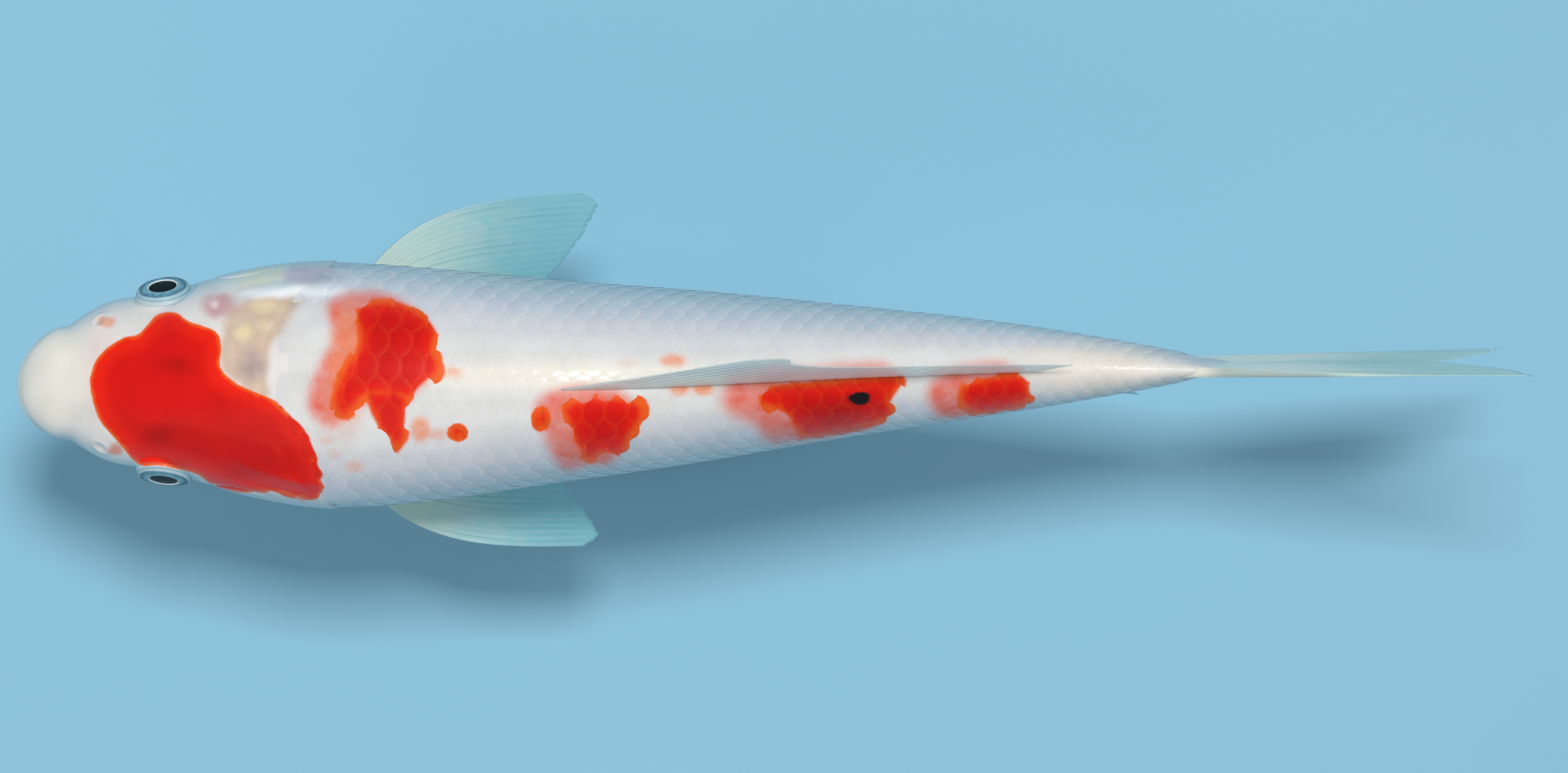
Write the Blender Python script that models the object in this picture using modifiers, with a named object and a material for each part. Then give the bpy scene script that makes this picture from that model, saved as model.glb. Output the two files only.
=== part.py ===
"""A young koi carp, swimming level with its fins eased back, on a plain display stand.

Units are metres and +Z is up. The fish lies along X with its snout towards -X, so its left side faces -Y.
The origin is the middle of the stand's underside, on the floor. Shapes are worked out as shares of the
body's length: `along` runs from 0 at the snout to 1 at the root of the tail fin, `side` is positive to the
fish's right (+Y), and `up` is measured from the body's axis.
"""

import math
from collections import namedtuple

import bmesh
import bpy
from mathutils import Vector

# ---- driving dimensions ------------------------------------------------------------------------------

BODY_LENGTH = 0.243  # snout tip to the root of the tail fin
SNOUT_X = -0.106  # puts the origin under the centre of mass
AXIS_HEIGHT = 0.098  # body axis above the floor
GAP = 0.0003  # between two pieces that meet
FIN_THICKNESS = 0.0007

BASE_LENGTH = 0.150
BASE_WIDTH = 0.044
BASE_THICKNESS = 0.008
BASE_ROUNDING = 0.0015
ROD_RADIUS = 0.0025
ROD_ALONG = (0.29, 0.60)  # where the two rods meet the belly

AROUND = 32  # faces round the body
LENGTHWISE = 44  # faces from snout to tail root

# ---- the body ----------------------------------------------------------------------------------------

Station = namedtuple("Station", "along half_width back belly")
STATIONS = (
    Station(0.000, 0.0400, 0.030, 0.026),  # the blunt lips; NOSE_LENGTH rounds them off
    Station(0.025, 0.0462, 0.037, 0.033),
    Station(0.045, 0.0520, 0.045, 0.041),
    Station(0.080, 0.0700, 0.060, 0.055),  # nostrils
    Station(0.132, 0.0790, 0.079, 0.072),  # eyes
    Station(0.200, 0.0990, 0.103, 0.096),  # cheeks
    Station(0.270, 0.1083, 0.122, 0.115),  # rear edge of the gill covers
    Station(0.360, 0.1030, 0.139, 0.130),
    Station(0.480, 0.0888, 0.148, 0.138),  # dorsal fin starts
    Station(0.600, 0.0757, 0.136, 0.127),
    Station(0.720, 0.0597, 0.107, 0.098),
    Station(0.850, 0.0430, 0.072, 0.064),
    Station(0.940, 0.0290, 0.059, 0.052),  # narrowest depth of the tail stalk
    Station(1.000, 0.0180, 0.060, 0.054),
    Station(1.040, 0.0080, 0.064, 0.059),  # the fleshy root that carries the tail fin
)
BODY_END = 1.040
NOSE_LENGTH = 0.036  # the snout rounds off over this share of the length
TAIL_ROUNDING = 0.020
SECTION_POWER = 0.92  # 1 is an ellipse, less is a fuller section
MIDLINE = (  # along and side: the gentle swimming curve, seen from above
    (0.00, -0.0075),
    (0.05, -0.0040),
    (0.17, -0.0033),
    (0.32, -0.0060),
    (0.52, -0.0013),
    (0.72, 0.0060),
    (0.88, 0.0092),
    (1.04, 0.0100),
)
ROLL = math.radians(3)  # the back leans towards the left, as the fish drifts
SNOUT_DROOP = 0.014  # the mouth sits below the body's axis
DROOP_LENGTH = 0.16

# ---- how the body is parted --------------------------------------------------------------------------

NAPE = (0.218, 0.107)  # along and up: three points on the head's rear edge
GILL_REAR = (0.279, -0.012)
THROAT = (0.178, -0.104)
TRUNK_CUTS = (0.47, 0.70, 0.90)
GILL_FRONT, GILL_TOP, GILL_BOTTOM = 0.172, 0.040, -0.082
GILL_DEPTH = 0.058  # the cover is the cheek outside this half width
MOUTH_CORNER = (0.050, -0.037)
MOUTH_TIP_UP = -0.019
JAW_REAR = (0.112, -0.085)
LIP_REAR = 0.036
LIP_SLANT = 0.010

# ---- the head's details ------------------------------------------------------------------------------

EYE = (0.132, 0.0700, 0.020)
EYE_RADIUS = 0.0268
NOSTRIL = (0.078, 0.0520, 0.0190)
NOSTRIL_RADIUS = 0.0060

# ---- the fins ----------------------------------------------------------------------------------------

ROOT_DEPTH = 0.014  # how far a fin's sheet starts inside the body, before it is cut off there
DORSAL_BASE = (0.450, 0.872)
DORSAL_RAYS = ((0.00, 0.205), (0.06, 0.211), (0.22, 0.150), (0.45, 0.100), (0.80, 0.074), (1.00, 0.054))
DORSAL_SWEEP = math.radians(71)  # from upright: the fin is half lowered
DORSAL_LEAN = math.radians(19)  # towards the right side

ANAL_BASE = (0.782, 0.862)
ANAL_RAYS = ((0.00, 0.205), (0.15, 0.218), (0.55, 0.150), (1.00, 0.085))
ANAL_SWEEP = math.radians(66)
ANAL_LEAN = math.radians(-15)  # towards the left side

TAIL_ROOT_ALONG = 1.018
TAIL_ROOT_UP = (0.055, -0.050)
TAIL_FORK = (1.178, 0.004)  # along and up
TAIL_LOBE_REACH = 0.150  # tips of the lobes behind the fork
TAIL_LOBE_UP = (0.152, -0.140)
TAIL_BULGE = 0.019  # the outer rays spread before they run back
TAIL_TWIST = math.radians(1.8)  # upper lobe to the left, lower lobe to the right
TAIL_DRIFT = 0.016  # sideways share of the way back, towards the right
TAIL_SPLIT = 0.0075  # half the gap between the lobes, as a share of the fan

PECTORAL_ROOT = ((0.292, 0.070, -0.070), (0.318, 0.064, -0.086))  # first and last ray
PECTORAL_TIP = (0.512, 0.163, -0.098)
PECTORAL_SHORTENING = 0.061  # last ray's tip lies this far ahead of the first
PECTORAL_NARROWING = 0.088  # and this much nearer the body
PECTORAL_DROP = 0.030  # and this much lower
PECTORAL_BULGE = 0.040
PECTORAL_SPREAD = {"right": 1.00, "left": 0.79}

PELVIC_ROOT = ((0.470, 0.030, -0.112), (0.492, 0.016, -0.118))
PELVIC_TIP = (0.622, 0.066, -0.152)
PELVIC_SHORTENING = 0.030
PELVIC_NARROWING = 0.046
PELVIC_DROP = 0.014
PELVIC_BULGE = 0.020

SIDES = {"right": 1, "left": -1}

FINISHES = {
    "white_skin": ((0.86, 0.82, 0.79), 0.28, 0.0),
    "red_skin": ((0.72, 0.03, 0.01), 0.28, 0.0),
    "clear_fin": ((0.72, 0.80, 0.80), 0.35, 0.0),
    "dark_eye": ((0.02, 0.02, 0.03), 0.08, 0.0),
    "stand_board": ((0.80, 0.80, 0.79), 0.45, 0.0),
    "stand_steel": ((0.70, 0.70, 0.72), 0.30, 1.0),
}


# ---- small helpers -----------------------------------------------------------------------------------


def lerp(a, b, t):
    return a + (b - a) * t


def ease(t):
    """0 to 1 with level ends."""
    t = min(max(t, 0.0), 1.0)
    return t * t * (3 - 2 * t)


def curve_through(points, at):
    """Value at `at` of a smooth curve through (position, value) pairs."""
    at = min(max(at, points[0][0]), points[-1][0])
    i = next((k for k in range(len(points) - 2) if at < points[k + 1][0]), len(points) - 2)

    def slope(k):
        before, after = points[max(k - 1, 0)], points[min(k + 1, len(points) - 1)]
        return (after[1] - before[1]) / (after[0] - before[0])

    (x0, y0), (x1, y1) = points[i], points[i + 1]
    span = x1 - x0
    t = (at - x0) / span
    return (
        (1 + 2 * t) * (1 - t) ** 2 * y0
        + t * (1 - t) ** 2 * span * slope(i)
        + t * t * (3 - 2 * t) * y1
        + t * t * (t - 1) * span * slope(i + 1)
    )


def profile(along):
    """Half width, back and belly of the body at `along`, before its ends are rounded off."""
    return [
        curve_through([(s.along, s[column]) for s in STATIONS], along)
        for column in (1, 2, 3)
    ]


def fish_point(along, side, up):
    """A place on the fish, in metres; side and up are measured from its gently bent, rolled axis."""
    bend = curve_through(MIDLINE, along)
    up -= SNOUT_DROOP * (1 - ease(along / DROOP_LENGTH))
    rolled_side = side * math.cos(ROLL) - up * math.sin(ROLL)
    rolled_up = up * math.cos(ROLL) + side * math.sin(ROLL)
    return Vector(
        (
            SNOUT_X + along * BODY_LENGTH,
            (bend + rolled_side) * BODY_LENGTH,
            AXIS_HEIGHT + rolled_up * BODY_LENGTH,
        )
    )


def fuller(x):
    return math.copysign(abs(x) ** SECTION_POWER, x)


def body_point(along, around, grow=0.0):
    """A point on the skin. around is 0 on the back, a quarter turn on the right side."""
    half_width, back, belly = profile(along)
    nose = min(along / NOSE_LENGTH, 1.0)
    tail = min((BODY_END - along) / TAIL_ROUNDING, 1.0)
    left = math.sqrt(max(1 - (1 - nose) ** 2, 0)) * math.sqrt(max(1 - (1 - tail) ** 2, 0))
    height = back if math.cos(around) > 0 else belly
    return fish_point(
        along,
        (half_width * left + grow) * fuller(math.sin(around)),
        (height * left + grow) * fuller(math.cos(around)),
    )


# ---- collections, materials and objects --------------------------------------------------------------

for old in list(bpy.data.objects):
    bpy.data.objects.remove(old)

pieces = bpy.data.collections.new("koi_carp")
cutters = bpy.data.collections.new("cutters")
for made in (pieces, cutters):
    bpy.context.scene.collection.children.link(made)


def finish_material(name):
    """A Principled BSDF of that finish, made once."""
    if name in bpy.data.materials:
        return bpy.data.materials[name]
    colour, roughness, metallic = FINISHES[name]
    made = bpy.data.materials.new(name)
    made.use_nodes = True
    shader = made.node_tree.nodes["Principled BSDF"]
    shader.inputs["Base Color"].default_value = (*colour, 1)
    shader.inputs["Roughness"].default_value = roughness
    shader.inputs["Metallic"].default_value = metallic
    return made


def add_piece(name, mesh, finish):
    """A shown object. Pieces of the body share one mesh, so the finish sits on the object."""
    piece = bpy.data.objects.new(name, mesh)
    pieces.objects.link(piece)
    if not mesh.materials:
        mesh.materials.append(None)
    piece.material_slots[0].link = "OBJECT"
    piece.material_slots[0].material = finish_material(finish)
    return piece


def add_cutter(name, mesh):
    cutter = bpy.data.objects.new(name, mesh)
    cutters.objects.link(cutter)
    cutter.hide_render = True
    cutter.display_type = "WIRE"
    return cutter


def cut(piece, operation, *tools):
    """Adds a live Boolean to the piece for each tool."""
    for tool in tools:
        boolean = piece.modifiers.new(f"{operation.lower()}_{tool.name}", "BOOLEAN")
        boolean.operation = operation
        boolean.object = tool


def mesh_from(name, bm):
    """The finished mesh, its faces turned outwards where it is closed."""
    bmesh.ops.recalc_face_normals(bm, faces=bm.faces)
    if bm.calc_volume(signed=True) < 0:
        bmesh.ops.reverse_faces(bm, faces=bm.faces)
    mesh = bpy.data.meshes.new(name)
    bm.to_mesh(mesh)
    bm.free()
    mesh.shade_smooth()
    return mesh


def body_mesh(name, grow=0.0):
    """A sphere whose rings become the body's sections, closed at the snout and the tail root."""
    bm = bmesh.new()
    bmesh.ops.create_uvsphere(bm, u_segments=AROUND, v_segments=LENGTHWISE, radius=1)
    for vertex in bm.verts:
        along = BODY_END * (1 - vertex.co.z) / 2
        vertex.co = body_point(along, math.atan2(vertex.co.y, vertex.co.x), grow)
    return mesh_from(name, bm)


def ball_mesh(name, centre, radius, segments=20):
    bm = bmesh.new()
    bmesh.ops.create_uvsphere(bm, u_segments=segments, v_segments=segments // 2, radius=radius)
    bmesh.ops.translate(bm, verts=bm.verts, vec=centre)
    return mesh_from(name, bm)


def slab(name, outline, sides=(-0.3, 0.3)):
    """A cutter: a side-view outline of (along, up) points, as thick as from sides[0] to sides[1]."""
    curve = bpy.data.curves.new(name, "CURVE")
    curve.dimensions = "2D"
    curve.fill_mode = "BOTH"
    curve.extrude = abs(sides[1] - sides[0]) / 2 * BODY_LENGTH
    spline = curve.splines.new("POLY")
    spline.points.add(len(outline) - 1)
    for point, (along, up) in zip(spline.points, outline):
        point.co = (along * BODY_LENGTH, up * BODY_LENGTH, 0, 1)
    spline.use_cyclic_u = True
    flat = bpy.data.objects.new(name + "_outline", curve)
    cutters.objects.link(flat)
    bpy.context.view_layer.update()
    mesh = bpy.data.meshes.new_from_object(flat.evaluated_get(bpy.context.evaluated_depsgraph_get()))
    bpy.data.objects.remove(flat)
    bm = bmesh.new()
    bm.from_mesh(mesh)
    bmesh.ops.remove_doubles(bm, verts=bm.verts, dist=1e-6)
    middle = sum(sides) / 2 * BODY_LENGTH
    for vertex in bm.verts:
        across, high, depth = vertex.co
        vertex.co = (SNOUT_X + across, middle - depth, AXIS_HEIGHT + high)
    return add_cutter(name, mesh_from(name, bm))


def circle_through(a, b, c):
    """Centre and radius of the circle through three flat points."""
    (ax, ay), (bx, by), (cx, cy) = a, b, c
    d = 2 * (ax * (by - cy) + bx * (cy - ay) + cx * (ay - by))
    a2, b2, c2 = ax**2 + ay**2, bx**2 + by**2, cx**2 + cy**2
    x = (a2 * (by - cy) + b2 * (cy - ay) + c2 * (ay - by)) / d
    y = (a2 * (cx - bx) + b2 * (ax - cx) + c2 * (bx - ax)) / d
    return x, y, math.hypot(ax - x, ay - y)


# ---- cutters -----------------------------------------------------------------------------------------


def head_outline(grow=0.0):
    """Everything ahead of the arc that runs from the nape round the gill covers to the throat."""
    x, y, radius = circle_through(NAPE, GILL_REAR, THROAT)
    top, bottom = (math.asin(min(max((p[1] * 1.25 - y) / radius, -0.97), 0.97)) for p in (NAPE, THROAT))
    steps = 14
    arc = [
        (x + (radius + grow) * math.cos(a), y + (radius + grow) * math.sin(a))
        for a in (lerp(bottom, top, k / steps) for k in range(steps + 1))
    ]
    ahead, clear = -0.1, 0.3
    return [(arc[0][0], -clear), *arc, (arc[-1][0], clear), (ahead, clear), (ahead, -clear)]


def trunk_outline(start, end):
    clear = 0.3
    return [(start, -clear), (end, -clear), (end, clear), (start, clear)]


def gill_outline(grow=0.0):
    """The gill cover's front edge, rounded at its corners; the head's rear edge bounds it behind."""
    front, top, bottom = GILL_FRONT - grow, GILL_TOP + grow, GILL_BOTTOM - grow
    corner, behind = 0.034, 0.34
    steps = 5
    turns = [k / steps * math.pi / 2 for k in range(steps + 1)]
    upper = [(front + corner * (1 - math.sin(t)), top - corner * (1 - math.cos(t))) for t in turns]
    lower = [(front + corner * (1 - math.cos(t)), bottom + corner * (1 - math.sin(t))) for t in turns]
    return [(behind, bottom), (behind, top), *upper, *lower]


def jaw_outline(grow=0.0):
    """Everything below the mouth and ahead of the throat."""
    ahead, clear = -0.1, 0.3
    (corner_along, corner_up), (rear_along, rear_up) = MOUTH_CORNER, JAW_REAR
    return [
        (ahead, MOUTH_TIP_UP + grow),
        (0.0, MOUTH_TIP_UP + grow),
        (corner_along, corner_up + grow),
        (rear_along + grow, rear_up + grow),
        (rear_along + grow, -clear),
        (ahead, -clear),
    ]


def lip_outline(grow=0.0):
    ahead, clear = -0.1, 0.3
    return [
        (ahead, -clear),
        (LIP_REAR + LIP_SLANT + grow, -clear),
        (LIP_REAR - LIP_SLANT + grow, clear),
        (ahead, clear),
    ]


gap = GAP / BODY_LENGTH
head_region = slab("head_region", head_outline())
head_clearance = slab("head_clearance", head_outline(gap))
jaw_region = slab("jaw_region", jaw_outline())
jaw_clearance = slab("jaw_clearance", jaw_outline(gap))
lip_region = slab("lip_region", lip_outline())
lip_clearance = slab("lip_clearance", lip_outline(gap))
grown_body = add_cutter("grown_body", body_mesh("grown_body", gap))

# ---- head --------------------------------------------------------------------------------------------

whole_body = body_mesh("whole_body")
head = add_piece("head", whole_body, "red_skin")
cut(head, "INTERSECT", head_region)
cut(head, "DIFFERENCE", jaw_clearance, lip_clearance)

upper_lip = add_piece("upper_lip", whole_body, "white_skin")
cut(upper_lip, "INTERSECT", lip_region)
cut(upper_lip, "DIFFERENCE", jaw_clearance)

lower_jaw = add_piece("lower_jaw", whole_body, "white_skin")
cut(lower_jaw, "INTERSECT", jaw_region)

for side_name, sign in SIDES.items():
    outer = sign * 0.3
    cover_region = slab(f"gill_region_{side_name}", gill_outline(), sorted((sign * GILL_DEPTH, outer)))
    cover_clearance = slab(
        f"gill_clearance_{side_name}", gill_outline(gap), sorted((sign * (GILL_DEPTH - gap), outer))
    )
    cut(head, "DIFFERENCE", cover_clearance)
    cover = add_piece(f"gill_cover_{side_name}", whole_body, "white_skin")
    cut(cover, "INTERSECT", head_region, cover_region)

    along, out, up = EYE
    eye_centre = fish_point(along, sign * out, up)
    socket = ball_mesh(f"eye_socket_{side_name}", eye_centre, EYE_RADIUS * BODY_LENGTH + GAP)
    cut(head, "DIFFERENCE", add_cutter(socket.name, socket))
    eye_mesh = ball_mesh(f"eye_{side_name}", eye_centre, EYE_RADIUS * BODY_LENGTH)
    add_piece(f"eye_{side_name}", eye_mesh, "dark_eye")

    along, out, up = NOSTRIL
    nostril_centre = fish_point(along, sign * out, up + SNOUT_DROOP)
    pit = ball_mesh(f"nostril_{side_name}", nostril_centre, NOSTRIL_RADIUS * BODY_LENGTH, 12)
    cut(head, "DIFFERENCE", add_cutter(pit.name, pit))


def barbel(name, root, tip, sag, thickness):
    """A soft feeler: a tapering tube that curves down from root to tip."""
    curve = bpy.data.curves.new(name, "CURVE")
    curve.dimensions = "3D"
    curve.bevel_depth = thickness / 2
    curve.bevel_resolution = 2
    curve.use_fill_caps = True
    spline = curve.splines.new("POLY")
    steps = 8
    spline.points.add(steps)
    for k, point in enumerate(spline.points):
        t = k / steps
        place = root.lerp(tip, t) + Vector((0, 0, -sag * math.sin(math.pi * t)))
        point.co = (*place, 1)
        point.radius = lerp(1.0, 0.62, t)
    tube = bpy.data.objects.new(name + "_tube", curve)
    cutters.objects.link(tube)
    bpy.context.view_layer.update()
    mesh = bpy.data.meshes.new_from_object(tube.evaluated_get(bpy.context.evaluated_depsgraph_get()))
    bpy.data.objects.remove(tube)
    bm = bmesh.new()
    bm.from_mesh(mesh)
    bmesh.ops.remove_doubles(bm, verts=bm.verts, dist=1e-6)
    piece = add_piece(name, mesh_from(name, bm), "white_skin")
    cut(piece, "DIFFERENCE", grown_body)


BARBELS = {
    "mouth": ((0.055, 0.048, -0.030), (0.075, 0.072, -0.060), 0.0011),
    "lip": ((0.030, 0.040, -0.012), (0.040, 0.056, -0.034), 0.0009),
}
for barbel_name, (root, tip, thickness) in BARBELS.items():
    for side_name, sign in SIDES.items():
        barbel(
            f"barbel_{barbel_name}_{side_name}",
            fish_point(root[0], sign * root[1], root[2]),
            fish_point(tip[0], sign * tip[1], tip[2]),
            sag=0.0008,
            thickness=thickness,
        )

# ---- trunk and tail stalk ----------------------------------------------------------------------------

TRUNK_NAMES = ("trunk_front", "trunk_middle", "trunk_rear", "tail_stalk")
trunk_edges = (0.0, *TRUNK_CUTS, BODY_END + 0.1)
for trunk_name, start, end in zip(TRUNK_NAMES, trunk_edges, trunk_edges[1:]):
    piece = add_piece(trunk_name, whole_body, "white_skin")
    region = slab(f"{trunk_name}_region", trunk_outline(start, end - gap))
    if start == 0:
        cut(piece, "INTERSECT", region)
        cut(piece, "DIFFERENCE", head_clearance)
    else:
        cut(piece, "INTERSECT", region)

# ---- fins --------------------------------------------------------------------------------------------


def fin(name, place, rays, steps):
    """A thin plate: place(u, v) is a point on the fin, u across its rays and v out along each."""
    bm = bmesh.new()
    bmesh.ops.create_grid(bm, x_segments=rays, y_segments=steps, size=0.5)
    for vertex in bm.verts:
        vertex.co = place(vertex.co.x + 0.5, vertex.co.y + 0.5)
    piece = add_piece(name, mesh_from(name, bm), "clear_fin")
    plate = piece.modifiers.new("plate", "SOLIDIFY")
    plate.thickness = FIN_THICKNESS
    plate.offset = 0
    cut(piece, "DIFFERENCE", grown_body)


def keel_fin_point(u, v, base, ray_lengths, sweep, lean, upward):
    """A point on the dorsal or anal fin, whose rays rise from the back or hang from the belly."""
    root_along = lerp(*base, u)
    _, back, belly = profile(root_along)
    edge = back if upward > 0 else belly
    length = curve_through(ray_lengths, u)
    along = root_along + length * math.sin(sweep) * v
    height = lerp(-ROOT_DEPTH, length * math.cos(sweep), v)
    return fish_point(along, math.tan(lean) * max(height, 0), upward * (edge + height))


def dorsal_point(u, v):
    return keel_fin_point(u, v, DORSAL_BASE, DORSAL_RAYS, DORSAL_SWEEP, DORSAL_LEAN, 1)


def anal_point(u, v):
    return keel_fin_point(u, v, ANAL_BASE, ANAL_RAYS, ANAL_SWEEP, ANAL_LEAN, -1)


def tail_point(u, v):
    """A point on the tail fin; u is 0 at its upper edge, 1 at its lower edge and 0.5 at the fork."""
    outward = abs(1 - 2 * u)
    upper = u < 0.5
    tip_up = TAIL_FORK[1] + (TAIL_LOBE_UP[0 if upper else 1] - TAIL_FORK[1]) * outward**0.95
    rounding = 0.012 * ease((outward - 0.86) / 0.14)
    tip_along = TAIL_FORK[0] + TAIL_LOBE_REACH * outward**1.1 - rounding
    spread = TAIL_BULGE * outward * math.sin(math.pi * v) * (1 if upper else -1)
    up = lerp(lerp(*TAIL_ROOT_UP, u), tip_up, v) + spread
    along = lerp(TAIL_ROOT_ALONG, tip_along, v)
    side = TAIL_DRIFT * (along - TAIL_ROOT_ALONG) - math.tan(TAIL_TWIST) * up
    return fish_point(along, side, up)


def paired_fin_point(u, v, sign, root, tip, shortening, narrowing, drop, bulge, spread=1.0):
    """A point on a pectoral or pelvic fin: a fan from a short root, with a bowed leading ray."""
    start = [lerp(a, b, u) for a, b in zip(*root)]
    end = (tip[0] - shortening * u**1.5, tip[1] - narrowing * u, tip[2] - drop * u)
    bow = bulge * (1 - u) * math.sin(math.pi * v)
    out = lerp(start[1], end[1], v) + bow
    out = start[1] + (out - start[1]) * spread
    return fish_point(lerp(start[0], end[0], v), sign * out, lerp(start[2], end[2], v))


fin("dorsal_fin", dorsal_point, rays=18, steps=5)
fin("anal_fin", anal_point, rays=8, steps=5)
fin("tail_fin_upper", lambda u, v: tail_point(u * (0.5 - TAIL_SPLIT), v), rays=10, steps=7)
fin("tail_fin_lower", lambda u, v: tail_point(1 - u * (0.5 - TAIL_SPLIT), v), rays=10, steps=7)


def paired_fins(name, rays, steps, spreads, **shape):
    for side_name, sign in SIDES.items():

        def place(u, v, sign=sign, spread=spreads[side_name]):
            return paired_fin_point(u, v, sign, spread=spread, **shape)

        fin(f"{name}_{side_name}", place, rays, steps)


paired_fins(
    "pectoral_fin",
    rays=10,
    steps=8,
    spreads=PECTORAL_SPREAD,
    root=PECTORAL_ROOT,
    tip=PECTORAL_TIP,
    shortening=PECTORAL_SHORTENING,
    narrowing=PECTORAL_NARROWING,
    drop=PECTORAL_DROP,
    bulge=PECTORAL_BULGE,
)
paired_fins(
    "pelvic_fin",
    rays=8,
    steps=6,
    spreads={"right": 1.0, "left": 1.0},
    root=PELVIC_ROOT,
    tip=PELVIC_TIP,
    shortening=PELVIC_SHORTENING,
    narrowing=PELVIC_NARROWING,
    drop=PELVIC_DROP,
    bulge=PELVIC_BULGE,
)

# ---- display stand -----------------------------------------------------------------------------------


def stand_base():
    """A flat oval plate with softened edges."""
    bm = bmesh.new()
    bmesh.ops.create_cone(
        bm, cap_ends=True, segments=48, radius1=0.5, radius2=0.5, depth=BASE_THICKNESS
    )
    bmesh.ops.scale(bm, verts=bm.verts, vec=(BASE_LENGTH, BASE_WIDTH, 1))
    bmesh.ops.translate(bm, verts=bm.verts, vec=(0, 0, BASE_THICKNESS / 2))
    piece = add_piece("stand_base", mesh_from("stand_base", bm), "stand_board")
    soften = piece.modifiers.new("soften", "BEVEL")
    soften.width = BASE_ROUNDING
    soften.segments = 2
    soften.limit_method = "ANGLE"


def stand_rod(name, along):
    """A round rod from the base up to the belly."""
    foot = BASE_THICKNESS + GAP
    head_height = AXIS_HEIGHT - 0.4 * profile(along)[2] * BODY_LENGTH
    bm = bmesh.new()
    bmesh.ops.create_cone(
        bm, cap_ends=True, segments=20, radius1=ROD_RADIUS, radius2=ROD_RADIUS, depth=head_height - foot
    )
    place = fish_point(along, 0, 0)
    bmesh.ops.translate(bm, verts=bm.verts, vec=(place.x, place.y, (head_height + foot) / 2))
    piece = add_piece(name, mesh_from(name, bm), "stand_steel")
    cut(piece, "DIFFERENCE", grown_body)


stand_base()
stand_rod("stand_rod_front", ROD_ALONG[0])
stand_rod("stand_rod_rear", ROD_ALONG[1])
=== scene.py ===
"""The looks of the koi carp: one skin, a coat of mesh scales, rayed fins, eyes, feelers and a plain studio.

Lengths are metres in the frame of the solids: +Z up, snout towards -X, the fish's left side towards -Y.
Places on the fish are shares of the body's length, as in the solids: `along` runs from 0 at the snout to 1 at
the root of the tail fin, `side` is positive to the fish's right and `up` is measured from the body's axis.
Markings are drawn as a plan seen from above, in hundredths of the body's length.
"""

import logging
import math
from dataclasses import dataclass, field
from enum import Enum
from typing import Any, Callable, Sequence

import bmesh
import bpy
import numpy as np
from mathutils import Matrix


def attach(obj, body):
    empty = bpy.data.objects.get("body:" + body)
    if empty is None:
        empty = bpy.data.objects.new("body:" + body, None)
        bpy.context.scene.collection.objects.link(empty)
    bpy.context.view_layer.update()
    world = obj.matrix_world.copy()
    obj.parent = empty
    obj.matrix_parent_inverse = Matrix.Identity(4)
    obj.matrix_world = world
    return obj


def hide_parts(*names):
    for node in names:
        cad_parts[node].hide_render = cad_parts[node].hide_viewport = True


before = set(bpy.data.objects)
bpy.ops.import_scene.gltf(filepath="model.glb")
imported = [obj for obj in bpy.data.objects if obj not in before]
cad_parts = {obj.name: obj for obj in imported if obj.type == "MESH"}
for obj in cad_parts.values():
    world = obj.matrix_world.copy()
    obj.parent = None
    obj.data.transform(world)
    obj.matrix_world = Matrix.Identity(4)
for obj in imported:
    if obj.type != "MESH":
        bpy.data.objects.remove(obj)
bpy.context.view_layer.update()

LOG = logging.getLogger("koi")

Array = np.ndarray
Pair = tuple[float, float]
Colour = tuple[float, float, float]
Place = tuple[float, float, float]
Options = dict[Any, Any] | None
Mesh = bpy.types.Mesh
Material = bpy.types.Material
MM = 0.001
BODY = "root"
WAVE_COUNT = 7  # how many waves add up to one cloud of noise
FAR_FROM_EYES = 180.0  # degrees, outside every fold of the lids


class Side(Enum):
    """The fish's two sides, with the sign of their direction in Y."""

    RIGHT = 1
    LEFT = -1

    @property
    def word(self) -> str:
        """The side's name as the solids spell it."""
        return self.name.lower()


class Slot(Enum):
    """The material slots of the record."""

    SKIN = "skin"
    FIN = "fin"
    EYE = "eye"
    BOARD = "stand_board"
    STEEL = "stand_steel"


# ---- numbers ----


def ease(t: Array) -> Array:
    """0 to 1 with level ends."""
    t = np.clip(t, 0.0, 1.0)
    return t * t * (3 - 2 * t)


def lerp(a: Any, b: Any, t: Any) -> Any:
    """The value a share t of the way from a to b."""
    return a + (b - a) * t


def bell(x: Array) -> Array:
    """1 at 0, falling smoothly to nothing on both sides."""
    return np.exp(-np.square(x))


def unit(vectors: Array) -> Array:
    """The vectors with length 1."""
    return vectors / np.maximum(np.linalg.norm(vectors, axis=-1, keepdims=True), 1e-12)


def soft_max(a: Array, b: Array, width: float) -> Array:
    """The larger of the two, rounded off where they are within width of each other."""
    near = np.maximum(width - np.abs(a - b), 0) / width
    return np.maximum(a, b) + near * near * width / 4


def paint(red: float, green: float, blue: float) -> Colour:
    """A linear colour from one mixed on a 0 to 255 display scale."""
    parts = (red / 255, green / 255, blue / 255)
    return tuple(((c + 0.055) / 1.055) ** 2.4 if c > 10 / 255 else c / 12.92 for c in parts)


def waves(points: Array, size: float, seed: int) -> Array:
    """Smooth noise between about -1 and 1.

    Args:
        points: places, in metres, in the last axis.
        size: how far apart its hills are, in metres.
        seed: which noise to give.

    Returns:
        One value for each point.
    """
    draw = np.random.default_rng(seed)
    total = np.zeros(points.shape[:-1])
    for _ in range(WAVE_COUNT):
        direction = unit(draw.normal(size=3)) * 2 * math.pi / size * draw.uniform(0.6, 1.5)
        total += np.sin(points @ direction + draw.uniform(0, 2 * math.pi))
    return total / 3


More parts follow.
